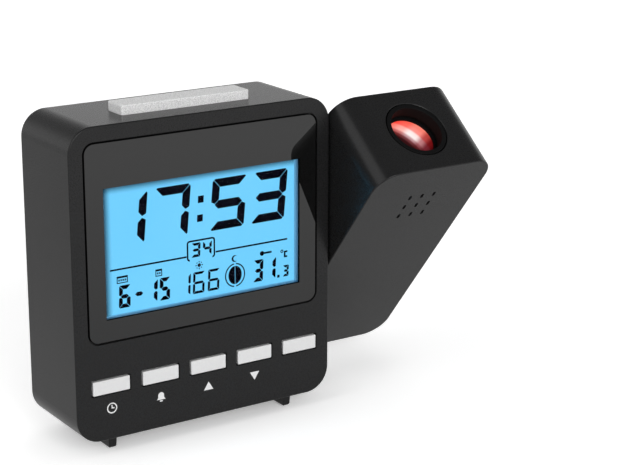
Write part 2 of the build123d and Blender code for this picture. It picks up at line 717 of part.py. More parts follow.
# Conical spring contacts at the cells' feet, narrowing towards the cell
CONE_WIRE = 0.35
with BuildPart() as contact_springs:
    for side, row in ((-1, 1), (1, -1)):
        foot = (CASE_X + BAY_X + side * (BAY_W / 2 - PLATE_T - CONE_WIRE), CELL_DEPTH - HALF_D,
                AXIS_Z + BAY_Z + row * CELL_PITCH / 2)
        rise = BAY_W - 2 * PLATE_T - 0.05 - CELL_L - 2 * CONE_WIRE - 0.1
        with BuildLine():
            cone = Helix(pitch=rise / 3, height=rise, radius=4.2, center=foot, direction=(-side, 0, 0),
                         cone_angle=-14)
        with BuildSketch(Plane(cone @ 0, z_dir=cone % 0)):
            Circle(CONE_WIRE)
        sweep(path=cone, is_frenet=True)
save(contact_springs, "contact_springs")

# Inlet for a mains adapter: moulded block behind the hole, with a centre pin in its barrel
with BuildPart() as power_inlet:
    with BuildSketch(case_face(COVER_BACK)):
        with Locations((INLET_X, INLET_Z)):
            Rectangle(9.0, 10.0)
    extrude(amount=12.0)
    with BuildSketch(case_face(COVER_BACK)):
        with Locations((INLET_X, INLET_Z)):
            Circle(INLET_HOLE_R - 0.3)
    extrude(amount=-(COVER_T - 0.3))
    with BuildSketch(case_face(COVER_FACE - 0.3)):
        with Locations((INLET_X, INLET_Z)):
            Circle(2.8)
    extrude(amount=9.5, mode=Mode.SUBTRACT)
    with BuildSketch(case_face(COVER_BACK - 8.5)):
        with Locations((INLET_X, INLET_Z)):
            Circle(0.85)
    extrude(amount=-8.0)
save(power_inlet, "power_inlet")

# ---------------------------------------------------------------------------------------------------
# Pivot
# ---------------------------------------------------------------------------------------------------

# Bush in the case's right wall, with its flange inside
FLANGE_T = 1.0
BUSH_FLANGE_R = 8.5
CASE_INSIDE = CASE_RIGHT - WALL
with BuildPart() as pivot_bush:
    with BuildSketch(pivot_plane(CASE_INSIDE - FLANGE_T)):
        Circle(BUSH_FLANGE_R)
    extrude(amount=FLANGE_T)
    with BuildSketch(pivot_plane(CASE_INSIDE)):
        Circle(BUSH_R)
    extrude(amount=WALL)
    with BuildSketch(pivot_plane(CASE_INSIDE - FLANGE_T)):
        Circle(SHAFT_R + RUNNING)
    extrude(amount=FLANGE_T + WALL, mode=Mode.SUBTRACT)
save(pivot_bush, "pivot_bush")

# Friction washer in the gap between case and arm
with BuildPart() as friction_washer:
    with BuildSketch(pivot_plane(CASE_RIGHT + FIT)):
        Circle(9.0)
        Circle(SHAFT_R + 0.15, mode=Mode.SUBTRACT)
    extrude(amount=ARM_GAP - 0.2)
save(friction_washer, "friction_washer")

# Hollow shaft on the arm: its flange is screwed to the inside of the arm's left wall
SHAFT_END = CASE_INSIDE - 3.6
RING_T = 0.8
RING_X = SHAFT_END + 0.8
SHAFT_FLANGE_R = 10.0
SHAFT_FLANGE_T = 2.0
SHAFT_SCREWS = [(7.6 * cos(radians(a)), 7.6 * sin(radians(a))) for a in (30, 150, 270)]
ARM_INSIDE = ARM_LEFT + ARM_WALL
with BuildPart() as pivot_shaft:
    with BuildSketch(pivot_plane(SHAFT_END)):
        Circle(SHAFT_R)
    extrude(amount=ARM_INSIDE - SHAFT_END)
    with BuildSketch(pivot_plane(ARM_INSIDE)):
        Circle(SHAFT_FLANGE_R)
    extrude(amount=SHAFT_FLANGE_T)
    with BuildSketch(pivot_plane(SHAFT_END)):
        Circle(SHAFT_BORE_R)
    extrude(amount=ARM_W, mode=Mode.SUBTRACT)
    with BuildSketch(pivot_plane(RING_X)):
        Circle(SHAFT_R)
        Circle(SHAFT_R - 0.6, mode=Mode.SUBTRACT)
    extrude(amount=RING_T, mode=Mode.SUBTRACT)
    with BuildSketch(pivot_plane(ARM_INSIDE)):
        with Locations(*SHAFT_SCREWS):
            Circle(1.1)
    extrude(amount=SHAFT_FLANGE_T, mode=Mode.SUBTRACT)
save(pivot_shaft, "pivot_shaft")

# Spring washer and snap ring that pull the arm against the case
with BuildPart() as spring_washer:
    with BuildSketch(pivot_plane(RING_X + RING_T + 0.05)):
        Circle(7.4)
        Circle(SHAFT_R + 0.1, mode=Mode.SUBTRACT)
    extrude(amount=CASE_INSIDE - FLANGE_T - RING_X - RING_T - 0.15)
save(spring_washer, "spring_washer")

with BuildPart() as snap_ring:
    with BuildSketch(pivot_plane(RING_X + FIT)):
        Circle(6.8)
        Circle(SHAFT_R - 0.55, mode=Mode.SUBTRACT)
        with Locations((0, -6)):
            Rectangle(5.0, 6.0, mode=Mode.SUBTRACT)
    extrude(amount=RING_T - 2 * FIT)
save(snap_ring, "snap_ring")

FLANGE_FACE = ARM_INSIDE + SHAFT_FLANGE_T + FIT
shaft_screws = pan_head_screws(pivot_plane(FLANGE_FACE), SHAFT_SCREWS, 0.8, 1.7, 1.0, 3.4)
save(shaft_screws, "shaft_screws")

# Wires from the socket on the board through the hollow shaft into the arm
WIRE_END = ARM_INSIDE + 6.0
WIRE_BEGIN = CASE_X + SOCKET_RIGHT - 4.4
with BuildPart() as wire_bundle:
    with BuildSketch(pivot_plane(WIRE_BEGIN)):
        with PolarLocations(0.8, 4):
            Circle(0.55)
        Circle(0.5)
    extrude(amount=WIRE_END - WIRE_BEGIN)
save(wire_bundle, "wire_bundle")

# ---------------------------------------------------------------------------------------------------
# Arm
# ---------------------------------------------------------------------------------------------------

# Arm shell: deep moulding like the case, with sound holes, the ring's bore and the shaft's hole
BUZZER_R = 9.0
BUZZER_Y = HALF_H - HOLES_DOWN
HOUSING_POSTS = [(x, HALF_H - 28.0) for x in (-14.0, 14.0)]
HOUSING_EAR = 12.0
BORE_R = RING_R + RING_GAP
with BuildPart() as arm_shell:
    with BuildSketch(arm_face(0)):
        RectangleRounded(ARM_W, CASE_H, CORNER_R)
    extrude(amount=-CASE_D)
    arm_ends = arm_shell.faces().filter_by(Axis((0, 0, 0), ARM_BACK))
    fillet(arm_ends.edges(), EDGE_R)
    with BuildSketch(arm_face(ARM_WALL)):
        RectangleRounded(ARM_W - 2 * ARM_WALL, CASE_H - 2 * ARM_WALL, CORNER_R - ARM_WALL)
    extrude(amount=-CASE_D, mode=Mode.SUBTRACT)
    with BuildSketch(arm_face(COVER_BACK)):
        RectangleRounded(ARM_W - 2 * LIP, CASE_H - 2 * LIP, CORNER_R - LIP)
    extrude(amount=-CASE_D, mode=Mode.SUBTRACT)
    # Posts of the arm's cover with a rib each, and of the projector's housing
    with BuildSketch(arm_face(ARM_WALL)):
        with Locations(*ARM_POSTS):
            Circle(2.6)
        with Locations(*[(x * 1.2, y) for x, y in ARM_POSTS]):
            Rectangle(5.0, RIB_T)
    extrude(amount=-(COVER_BACK - ARM_WALL))
    with BuildSketch(arm_face(ARM_WALL)):
        with Locations(*HOUSING_POSTS):
            Circle(2.3)
    extrude(amount=-(HOUSING_EAR - ARM_WALL))
    # Ring rib that holds the buzzer
    with BuildSketch(arm_face(ARM_WALL)):
        with Locations((0, BUZZER_Y)):
            Circle(BUZZER_R + 1.0)
            Circle(BUZZER_R + 0.1, mode=Mode.SUBTRACT)
    extrude(amount=-1.8)
    with BuildSketch(arm_face(COVER_BACK)):
        with Locations(*ARM_POSTS):
            Circle(POST_PILOT_R)
    extrude(amount=PILOT_DEEP - 2, mode=Mode.SUBTRACT)
    with BuildSketch(arm_face(HOUSING_EAR)):
        with Locations(*HOUSING_POSTS):
            Circle(PILOT_R)
    extrude(amount=7, mode=Mode.SUBTRACT)
    # Sound holes, three by three short slots along the arm
    with BuildSketch(arm_face(0)):
        with Locations((0, BUZZER_Y)):
            with GridLocations(HOLE_PITCH, HOLE_PITCH, 3, 3):
                SlotOverall(HOLE_H, HOLE_W, rotation=90)
    extrude(amount=-ARM_WALL, mode=Mode.SUBTRACT)
    # Bore of the focus ring in the upper end, its sharp edge broken
    with BuildSketch(arm_end(0)):
        Circle(BORE_R)
    extrude(amount=-ARM_WALL, mode=Mode.SUBTRACT)
    rims = arm_shell.edges().filter_by(GeomType.CIRCLE).filter_by(lambda rim: abs(rim.radius - BORE_R) < FIT)
    chamfer(rims.sort_by(ARM_AXIS)[-1], 0.15)
    # Hole of the shaft and its screws in the left wall
    with BuildSketch(pivot_plane(ARM_LEFT)):
        Circle(SHAFT_R + FIT)
        with Locations(*SHAFT_SCREWS):
            Circle(0.85)
    extrude(amount=ARM_WALL, mode=Mode.SUBTRACT)
save(arm_shell, "arm_shell")

# Arm cover: plate let into the arm's back
with BuildPart() as arm_cover:
    with BuildSketch(arm_face(COVER_FACE)):
        RectangleRounded(ARM_W - 2 * LIP - 2 * SEAM, CASE_H - 2 * LIP - 2 * SEAM, CORNER_R - LIP - SEAM)
    extrude(amount=COVER_T)
    fillet(arm_cover.faces().sort_by(Axis((0, 0, 0), ARM_BACK))[-1].edges(), 0.3)
    with Locations(*[facing_back(arm_face(COVER_FACE)) * Location((-x, y, 0)) for x, y in ARM_POSTS]):
        CounterBoreHole(SCREW_R, SCREW_HEAD_R + 0.2, HEAD_SUNK)
save(arm_cover, "arm_cover")

arm_screws = pan_head_screws(facing_back(arm_face(COVER_FACE - HEAD_SUNK + FIT)), mirrored(ARM_POSTS),
                             COVER_SHANK_R, SCREW_HEAD_R, COVER_HEAD_T, 8)
save(arm_screws, "arm_screws")

# Buzzer: thin round sounder behind the holes
with BuildPart() as buzzer:
    with BuildSketch(arm_face(ARM_WALL + 0.2)):
        with Locations((0, BUZZER_Y)):
            Circle(BUZZER_R)
    extrude(amount=-2.4)
    with BuildSketch(arm_face(ARM_WALL + 0.2)):
        with Locations((0, BUZZER_Y)):
            Circle(BUZZER_R - 1.2)
    extrude(amount=-0.9, mode=Mode.SUBTRACT)
save(buzzer, "buzzer")

# Focus ring: flush with the end face, kept in by a collar under the end wall, with a lip round its mouth
RING_FOOT = 12.4
LIP_FOOT = 3.7
with BuildPart() as focus_ring:
    with BuildSketch(arm_section()):
        band(RING_LIP_R, RING_R, 0, LIP_FOOT)
        band(RING_BORE_R, RING_R, LIP_FOOT, RING_FOOT)
        band(RING_BORE_R, BORE_R + 1.0, ARM_WALL + 0.2, 4.0)
    revolve(axis=ARM_AXIS)
    chamfer(focus_ring.faces().sort_by(ARM_AXIS)[-1].edges(), 0.15)
save(focus_ring, "focus_ring")

# Lens carrier: screwed into the ring, with a skirt that the housing's keys stop from turning
CARRIER_TOP = 5.0
SKIRT_R = 7.9
SKIRT_FOOT = 19.0
KEY_SLOT_W = 2.0
with BuildPart() as lens_carrier:
    with BuildSketch(arm_section()):
        band(LENS_R - 0.25, RING_BORE_R - RUNNING, CARRIER_TOP, LENS_DOWN)
        band(LENS_R + 0.03, RING_BORE_R - RUNNING, LENS_DOWN, LENS_DOWN + 2.25)
        band(6.9, RING_BORE_R - RUNNING, LENS_DOWN + 2.25, LENS_DOWN + 5.0)
        band(6.9, SKIRT_R, LENS_DOWN + 5.0, SKIRT_FOOT)
    revolve(axis=ARM_AXIS)
    with BuildSketch(arm_end(SKIRT_FOOT)):
        with Locations((-SKIRT_R, 0), (SKIRT_R, 0)):
            Rectangle(2.4, KEY_SLOT_W)
    extrude(amount=SKIRT_FOOT - LENS_DOWN - 5.4, mode=Mode.SUBTRACT)
save(lens_carrier, "lens_carrier")

# Projection lens: domed towards the outside
with BuildPart() as projection_lens:
    with BuildSketch(arm_section()):
        with BuildLine():
            dome = TangentArc((0, -LENS_DOWN + LENS_SAG), (LENS_R - 0.3, -LENS_DOWN), tangent=(1, 0))
            seat = Polyline(dome @ 1, (LENS_R, -LENS_DOWN - 0.02), (LENS_R, -LENS_DOWN - 1.96))
            back = TangentArc((0, -LENS_DOWN - 2.8), seat @ 1, tangent=(1, 0))
            Line(back @ 0, dome @ 0)
        make_face()
    revolve(axis=ARM_AXIS)
save(projection_lens, "projection_lens")

# Projector housing: stepped tube with keys for the carrier, seats for negative, condenser and lamp
HOUSING_TOP = 12.8
COLLAR_FOOT = 21.5
NEGATIVE_DOWN = 31.0
CONDENSER_DOWN = 36.0
LAMP_DOWN = 43.0
HOUSING_FOOT = 49.0
with BuildPart() as projector_housing:
    with BuildSketch(arm_section()):
        with BuildLine():
            Polyline((SKIRT_R + 0.1, -HOUSING_TOP), (HOUSING_R, -HOUSING_TOP), (HOUSING_R, -COLLAR_FOOT),
                     (8.0, -COLLAR_FOOT - 5), (8.0, -LAMP_DOWN + 1), (4.5, -LAMP_DOWN - 1),
                     (4.5, -HOUSING_FOOT), (2.55, -HOUSING_FOOT), (2.55, -LAMP_DOWN + 0.5),
                     (6.1, -CONDENSER_DOWN - 4), (6.1, -CONDENSER_DOWN), (5.2, -CONDENSER_DOWN),
                     (5.2, -COLLAR_FOOT - 5), (SKIRT_R + 0.1, -COLLAR_FOOT), close=True)
        make_face()
    revolve(axis=ARM_AXIS)
    # Slot from the back for the negative
    with BuildSketch(arm_end(NEGATIVE_DOWN)):
        Rectangle(12.4, 12.4)
        with Locations((0, 6)):
            Rectangle(12.4, 12)
    extrude(amount=-2.3, mode=Mode.SUBTRACT)
    # Keys inside the collar
    with BuildSketch(arm_end(HOUSING_TOP)):
        with Locations((-SKIRT_R - 0.1, 0), (SKIRT_R + 0.1, 0)):
            Rectangle(1.8, KEY_SLOT_W - 0.3)
    extrude(amount=-(COLLAR_FOOT - HOUSING_TOP - 0.5))
    # Ears to the posts of the arm shell
    with BuildSketch(arm_face(HOUSING_EAR + 0.05)):
        with Locations(*HOUSING_POSTS):
            Circle(2.6)
        with Locations((-9.9, HOUSING_POSTS[0][1]), (9.9, HOUSING_POSTS[0][1])):
            Rectangle(8.2, 4.0)
        with Locations(*HOUSING_POSTS):
            Circle(0.9, mode=Mode.SUBTRACT)
    extrude(amount=-2.4)
    with BuildSketch(arm_end(COLLAR_FOOT)):
        Circle(5.2)
    extrude(amount=-14, mode=Mode.SUBTRACT)
save(projector_housing, "projector_housing")

EAR_BACK = HOUSING_EAR + 2.5
housing_screws = pan_head_screws(facing_back(arm_face(EAR_BACK)), mirrored(HOUSING_POSTS), 0.7, 1.7, 1.0, 7)
save(housing_screws, "housing_screws")

# Negative: small glass display that the lamp shines through
with BuildPart() as projector_negative:
    with BuildSketch(arm_end(NEGATIVE_DOWN + 0.15)):
        Rectangle(12.0, 12.0)
    extrude(amount=-2.0)
save(projector_negative, "projector_negative")

# Condenser lens: bulging to both sides, in front of the lamp
with BuildPart() as condenser_lens:
    with BuildSketch(arm_section()):
        with BuildLine():
            upper = TangentArc((0, -CONDENSER_DOWN - 0.05), (6.0, -CONDENSER_DOWN - 1.4), tangent=(1, 0))
            rim = Line(upper @ 1, (6.0, -CONDENSER_DOWN - 2.4))
            lower = TangentArc((0, -CONDENSER_DOWN - 3.9), rim @ 1, tangent=(1, 0))
            Line(lower @ 0, upper @ 0)
        make_face()
    revolve(axis=ARM_AXIS)
save(condenser_lens, "condenser_lens")

# Red lamp: round-nosed 5 mm lamp with its collar and legs
LAMP_FOOT = HOUSING_FOOT + 0.1
LAMP_COLLAR_T = 1.0
with BuildPart() as red_lamp:
    with BuildSketch(arm_section()):
        with BuildLine():
            nose = TangentArc((0, -LAMP_DOWN), (2.5, -LAMP_DOWN - 2.5), tangent=(1, 0))
            Polyline(nose @ 1, (2.5, -LAMP_FOOT), (2.9, -LAMP_FOOT), (2.9, -LAMP_FOOT - LAMP_COLLAR_T),
                     (0, -LAMP_FOOT - LAMP_COLLAR_T), nose @ 0)
        make_face()
    revolve(axis=ARM_AXIS)
    with BuildSketch(arm_end(LAMP_FOOT + LAMP_COLLAR_T)):
        with Locations((-1.27, 0), (1.27, 0)):
            Rectangle(0.5, 0.5)
    extrude(amount=-4.0)
save(red_lamp, "red_lamp")

# Lamp board across the arm, which carries the lamp and takes the wires
LAMP_BOARD_DOWN = LAMP_FOOT + LAMP_COLLAR_T + 0.2
with BuildPart() as lamp_board:
    with BuildSketch(arm_end(LAMP_BOARD_DOWN)):
        Rectangle(22.0, 18.0)
        with Locations((-1.27, 0), (1.27, 0)):
            Circle(0.5, mode=Mode.SUBTRACT)
    extrude(amount=-1.6)
save(lamp_board, "lamp_board")

# Lamp wires: from the end of the bundle on the pivot axis, round under the lamp board
LAMP_WIRE_R = 0.7
WIRE_BEND = 1.2
wire_start = WIRE_END + 0.4 - ARM_X
wire_drop = wire_start + 1.4
pin_y = HALF_H - LAMP_BOARD_DOWN - 1.7
with BuildPart() as lamp_wires:
    with BuildLine(arm_face(HALF_D)):
        route = FilletPolyline((wire_start, 0), (wire_drop, 0), (wire_drop, -6.5), (-7, -6.5), (-7, pin_y),
                               radius=WIRE_BEND)
    with BuildSketch(Plane(route @ 0, z_dir=route % 0)):
        Circle(LAMP_WIRE_R)
    sweep(path=route)
save(lamp_wires, "lamp_wires")
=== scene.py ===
"""Looks of the projection alarm clock: a lit display case with silver keys and a turning projector arm."""
from math import cos, radians, sin

import bmesh
import bpy
from mathutils import Matrix, Vector


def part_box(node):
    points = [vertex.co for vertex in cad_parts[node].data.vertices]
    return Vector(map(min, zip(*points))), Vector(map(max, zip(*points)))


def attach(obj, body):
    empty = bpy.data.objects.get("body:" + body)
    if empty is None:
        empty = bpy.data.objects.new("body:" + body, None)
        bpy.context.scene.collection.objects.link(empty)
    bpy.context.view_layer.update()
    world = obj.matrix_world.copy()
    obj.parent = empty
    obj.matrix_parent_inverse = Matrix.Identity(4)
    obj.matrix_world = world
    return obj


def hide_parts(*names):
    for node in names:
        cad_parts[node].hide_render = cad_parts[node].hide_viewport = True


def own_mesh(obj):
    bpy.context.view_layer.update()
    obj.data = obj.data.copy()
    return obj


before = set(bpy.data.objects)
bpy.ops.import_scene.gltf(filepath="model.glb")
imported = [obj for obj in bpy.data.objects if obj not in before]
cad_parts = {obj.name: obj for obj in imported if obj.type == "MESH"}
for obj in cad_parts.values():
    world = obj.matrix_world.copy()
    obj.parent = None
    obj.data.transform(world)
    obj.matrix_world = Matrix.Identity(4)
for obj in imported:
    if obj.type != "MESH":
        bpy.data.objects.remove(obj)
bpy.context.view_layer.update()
MM = 0.001

# ---------------------------------------------------------------------------------------------------
# Camera and studio: a long lens to the left of the clock and a little above it, in a white room with a
# dimmer ceiling. Soft lamps stand in front, on the left and low behind on the right, and the last of
# them shows in no reflection.

CAMERA_PLACE = (-0.2836, -0.46215, 0.21265)
CAMERA_TURN = radians(-33.79)
CAMERA_RISE = radians(16.03)
CAMERA_ROLL = radians(0.16)
CAMERA_LENS = 103.09
CAMERA_SENSOR = 36.0
CAMERA_NEAR = 0.01

back = Vector((sin(CAMERA_TURN) * cos(CAMERA_RISE), -cos(CAMERA_TURN) * cos(CAMERA_RISE), sin(CAMERA_RISE)))
right = Vector((0, 0, 1)).cross(back).normalized()
upward = back.cross(right)
turned = Matrix((right, upward, back)).transposed() @ Matrix.Rotation(CAMERA_ROLL, 3, "Z")
camera = bpy.data.objects.new("camera", bpy.data.cameras.new("camera"))
camera.data.lens = CAMERA_LENS
camera.data.sensor_width = CAMERA_SENSOR
camera.data.clip_start = CAMERA_NEAR
camera.matrix_world = Matrix.Translation(CAMERA_PLACE) @ turned.to_4x4()
bpy.context.scene.collection.objects.link(camera)
bpy.context.scene.camera = camera
bpy.context.scene.view_settings.view_transform = "Standard"


def set_inputs(node, **sockets):
    """Give named sockets of a node a plain value or a link; `_0` is its first socket, `_1` the next."""
    for name, value in sockets.items():
        socket = node.inputs[int(name[1:])] if name[0] == "_" else node.inputs[name.replace("_", " ")]
        if isinstance(value, bpy.types.NodeSocket):
            node.id_data.links.new(value, socket)
        else:
            socket.default_value = value


def add_node(tree, kind, settings=None, **sockets):
    """A new node with its settings and its inputs."""
    made = tree.nodes.new(kind)
    for name, value in (settings or {}).items():
        setattr(made, name, value)
    set_inputs(made, **sockets)
    return made


def calc(tree, operation, *values, clamp=False):
    """The result of a math operation on one to three values, as a socket."""
    settings = {"operation": operation, "use_clamp": clamp}
    inputs = {f"_{place}": value for place, value in enumerate(values)}
    return add_node(tree, "ShaderNodeMath", settings, **inputs).outputs[0]


def rescale(tree, value, low, high, to_low=0.0, to_high=1.0, smooth=False):
    """A value carried from one range to another and held at its ends, as a socket."""
    style = {"interpolation_type": "SMOOTHSTEP" if smooth else "LINEAR"}
    return add_node(tree, "ShaderNodeMapRange", style, Value=value, From_Min=low, From_Max=high,
                    To_Min=to_low, To_Max=to_high).outputs[0]


def split(tree, vector):
    """The X, Y and Z of a vector, as sockets by their names."""
    return add_node(tree, "ShaderNodeSeparateXYZ", Vector=vector).outputs


WHITE = (1, 1, 1, 1)
HORIZON_LIGHT, CEILING_LIGHT = 0.95, 0.22
HORIZON_END, CEILING_START = 0.2, 0.5

room = bpy.data.worlds.new("studio_room")
bpy.context.scene.world = room
room.use_nodes = True
tree = room.node_tree
height = split(tree, add_node(tree, "ShaderNodeTexCoord").outputs["Generated"])["Z"]
lit = tree.nodes["Background"]
set_inputs(lit, Color=WHITE, Strength=rescale(tree, height, HORIZON_END, CEILING_START, HORIZON_LIGHT,
                                              CEILING_LIGHT, smooth=True))
seen = add_node(tree, "ShaderNodeBackground", Color=WHITE, Strength=1.0)
rays = add_node(tree, "ShaderNodeLightPath").outputs
choice = add_node(tree, "ShaderNodeMixShader", _0=rays["Is Camera Ray"], _1=lit.outputs[0],
                  _2=seen.outputs[0])
set_inputs(tree.nodes["World Output"], Surface=choice.outputs[0])

# Floor paper with a glow of its own. What is seen of it, also through clear pieces, fades close to the
# clock as a painted shadow, where the clock hides more of the room, and what is mirrored grows towards
# the front.
FLOOR_HALF = 3.0
PAPER_WHITE = (0.96, 0.96, 0.96, 1)
SEEN_GLOW, MIRRORED_GLOW = 0.52, 0.5
MIRRORED_BACK_Y, MIRRORED_FRONT_Y = 0.2, -0.35
NEAR_REACH, NEAR_SAMPLES = 0.022, 8
NEAR_DARK, NEAR_OPEN = -1.0, 0.95

floor_mesh = bmesh.new()
bmesh.ops.create_grid(floor_mesh, x_segments=1, y_segments=1, size=FLOOR_HALF)
floor = bpy.data.objects.new("floor", bpy.data.meshes.new("floor"))
floor_mesh.to_mesh(floor.data)
floor_mesh.free()
bpy.context.scene.collection.objects.link(floor)
paper = bpy.data.materials.new("floor_paper")
paper.use_nodes = True
tree = paper.node_tree
tree.nodes.remove(tree.nodes["Principled BSDF"])
rays = add_node(tree, "ShaderNodeLightPath").outputs
direct = calc(tree, "MAXIMUM", rays["Is Camera Ray"], rays["Is Transmission Ray"])
floor_y = split(tree, add_node(tree, "ShaderNodeTexCoord").outputs["Object"])["Y"]
frontal = rescale(tree, floor_y, MIRRORED_BACK_Y, MIRRORED_FRONT_Y, to_high=MIRRORED_GLOW)
mirrored = calc(tree, "MULTIPLY", rays["Is Glossy Ray"], frontal)
# Painted shadow: the seen glow dims where the clock hides the room, by ambient occlusion
near = add_node(tree, "ShaderNodeAmbientOcclusion", {"samples": NEAR_SAMPLES}, Distance=NEAR_REACH)
open_floor = rescale(tree, near.outputs["AO"], NEAR_DARK, NEAR_OPEN, to_high=SEEN_GLOW)
lift = calc(tree, "MULTIPLY_ADD", direct, open_floor, mirrored)
dull = add_node(tree, "ShaderNodeBsdfDiffuse", Color=PAPER_WHITE)
glow = add_node(tree, "ShaderNodeEmission", Color=WHITE, Strength=lift)
both = add_node(tree, "ShaderNodeAddShader", _0=dull.outputs[0], _1=glow.outputs[0])
set_inputs(tree.nodes["Material Output"], Surface=both.outputs[0])
floor.data.materials.append(paper)

# Each lamp's name, where its light comes from, width in degrees, energy, and whether gloss mirrors it
LAMPS = (("front_lamp", (-0.12, -0.92, 0.38), 35, 1.35, True),
         ("left_lamp", (-0.82, 0.0, 0.57), 42, 0.66, True),
         ("back_lamp", (0.66, 0.7, 0.22), 60, 0.7, False))
for name, lamp_from, width, energy, shines in LAMPS:
    lamp = bpy.data.objects.new(name, bpy.data.lights.new(name, "SUN"))
    lamp.data.angle = radians(width)
    lamp.data.energy = energy
    lamp.visible_glossy = shines
    lamp.rotation_euler = (-Vector(lamp_from)).to_track_quat("-Z", "Y").to_euler()
    bpy.context.scene.collection.objects.link(lamp)

# ---------------------------------------------------------------------------------------------------
# Front case and foot rails: one deep tub of black ABS, moulded with a fine satin grain, and two runners
# of the same plastic pegged into its underside.

CASE_BLACK = (0.0115, 0.0115, 0.0118)
CASE_BLACK_PALER = (0.0135, 0.0135, 0.0138)
GRAIN_DETAIL, PATCH_DETAIL = 3.0, 2.0
NOISE_LOW, NOISE_HIGH = 0.3, 0.7


def set_shader(finish, **sockets):
    """Set or link inputs of a finish's shader."""
    set_inputs(finish.node_tree.nodes["Principled BSDF"], **sockets)


def new_finish(name, colour, roughness, metallic=0.0, specular=0.5, **more):
    """A material with its shader set to a plain base; `more` names further inputs of the shader."""
    finish = bpy.data.materials.new(name)
    finish.use_nodes = True
    set_shader(finish, Base_Color=(*colour, 1), Roughness=roughness, Metallic=metallic,
               Specular_IOR_Level=specular, **more)
    return finish


def place_on(finish):
    """The point on the piece, in metres, as a socket."""
    return add_node(finish.node_tree, "ShaderNodeTexCoord").outputs["Object"]


def noise_on(finish, size, detail):
    """Noise between 0 and 1 in lumps of `size` metres, as a socket."""
    return add_node(finish.node_tree, "ShaderNodeTexNoise", Vector=place_on(finish), Scale=1 / size,
                    Detail=detail).outputs[0]


def raise_by(finish, height, depth):
    """Let a height between 0 and 1 stand out of the surface by `depth` metres."""
    bump = add_node(finish.node_tree, "ShaderNodeBump", Height=height, Distance=depth, Strength=1.0)
    set_shader(finish, Normal=bump.outputs[0])


def blend(tree, share, first, second, how="MIX"):
    """A colour between two others, which are plain colours or sockets, as a socket."""
    first, second = [end if isinstance(end, bpy.types.NodeSocket) else (*end, 1) for end in (first, second)]
    mix = {"data_type": "RGBA", "blend_type": how}
    return add_node(tree, "ShaderNodeMix", mix, _0=share, _6=first, _7=second).outputs[2]


def grain(finish, size, depth, rough):
    """Fine surface grain of a size and a depth in metres, with `rough` as the ends of its roughness."""
    noise = noise_on(finish, size, GRAIN_DETAIL)
    raise_by(finish, noise, depth)
    set_shader(finish, Roughness=rescale(finish.node_tree, noise, NOISE_LOW, NOISE_HIGH, *rough))


def mottle(finish, first, second, size):
    """Slow variation of the base colour between two close shades, in patches of `size` metres."""
    patches = noise_on(finish, size, PATCH_DETAIL)
    set_shader(finish, Base_Color=blend(finish.node_tree, patches, first, second))


def dress(finish, *names):
    """Give CAD pieces their finish."""
    for name in names:
        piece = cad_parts[name]
        piece.data.materials.clear()
        piece.data.materials.append(finish)


case_plastic = new_finish("satin_black_abs", CASE_BLACK, roughness=0.27, specular=0.22)
grain(case_plastic, size=0.22 * MM, depth=0.004 * MM, rough=(0.24, 0.32))
mottle(case_plastic, CASE_BLACK, CASE_BLACK_PALER, size=6 * MM)
dress(case_plastic, "front_case", "foot_rails")

# ---------------------------------------------------------------------------------------------------
# Display window: a clear acrylic pane with polished faces, let in flush with the case, and the black print
# on its back that leaves the view free. The pane's cut edges are black as painted shade in the groove round
# it.

VIEW_W, VIEW_H = 68.2 * MM, 40.2 * MM
# From the middle of the display to the middle of the pane's clear part: a little to the left and up
CLEAR_SHIFT = Vector((-0.42, 0, 0.18)) * MM
BORDER_IOR, VIEW_IOR = 1.55, 1.05
# Black of the pane over the print, and on its cut edges black as painted shade in the groove
CLEAR, INK_AND_EDGE_SHADE = (1, 1, 1), (0.003, 0.003, 0.003)
FACE_ON, FACE_GLOSS = 0.9, 0.5
PRINT_BLACK, PRINT_BLACK_PALER = (0.004, 0.004, 0.004), (0.005, 0.005, 0.005)


def middle_of(name):
    """The middle of a CAD piece's box."""
    low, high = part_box(name)
    return (low + high) / 2


view_middle = middle_of("lcd_glass")
pane = new_finish("clear_acrylic", CLEAR, roughness=0.0, Transmission_Weight=1.0)
tree = pane.node_tree
offset = add_node(tree, "ShaderNodeVectorMath", {"operation": "SUBTRACT"}, _0=place_on(pane),
                  _1=view_middle + CLEAR_SHIFT)
offset = add_node(tree, "ShaderNodeVectorMath", {"operation": "ABSOLUTE"}, _0=offset.outputs[0])
offset = split(tree, offset.outputs[0])
beside = calc(tree, "GREATER_THAN", offset["X"], VIEW_W / 2)
above = calc(tree, "GREATER_THAN", offset["Z"], VIEW_H / 2)
border = calc(tree, "MAXIMUM", beside, above)
# Where the pane is not clear it is black: over the print as its own black, on the cut edges as painted
# shade
facing = split(tree, add_node(tree, "ShaderNodeTexCoord").outputs["Normal"])["Y"]
is_face = calc(tree, "GREATER_THAN", calc(tree, "ABSOLUTE", facing), FACE_ON)
clear = calc(tree, "SUBTRACT", is_face, border, clamp=True)
set_shader(pane, IOR=rescale(tree, border, 0.0, 1.0, VIEW_IOR, BORDER_IOR),
           Base_Color=blend(tree, clear, INK_AND_EDGE_SHADE, CLEAR), Transmission_Weight=clear,
           Specular_IOR_Level=calc(tree, "MULTIPLY", is_face, FACE_GLOSS))
dress(pane, "display_window")

mask_print = new_finish("black_print", PRINT_BLACK, roughness=0.6, specular=0.05)
mottle(mask_print, PRINT_BLACK, PRINT_BLACK_PALER, size=4 * MM)
dress(mask_print, "window_mask")

# ---------------------------------------------------------------------------------------------------
# Display: a frame that holds the glass, two polarising films, and behind them the light guide with its
# films and lamps. The light comes through the films as an even pale blue. Its fall on the inner wall of
# the frame is painted light: the frame's blue-grey colour and a glow that rises towards the films.

DISPLAY_BLUE = (0.165, 0.62, 0.98)
FILM_BLUE, FILM_BLUE_PALER = (0.15, 0.6, 0.97), (0.18, 0.64, 1.0)
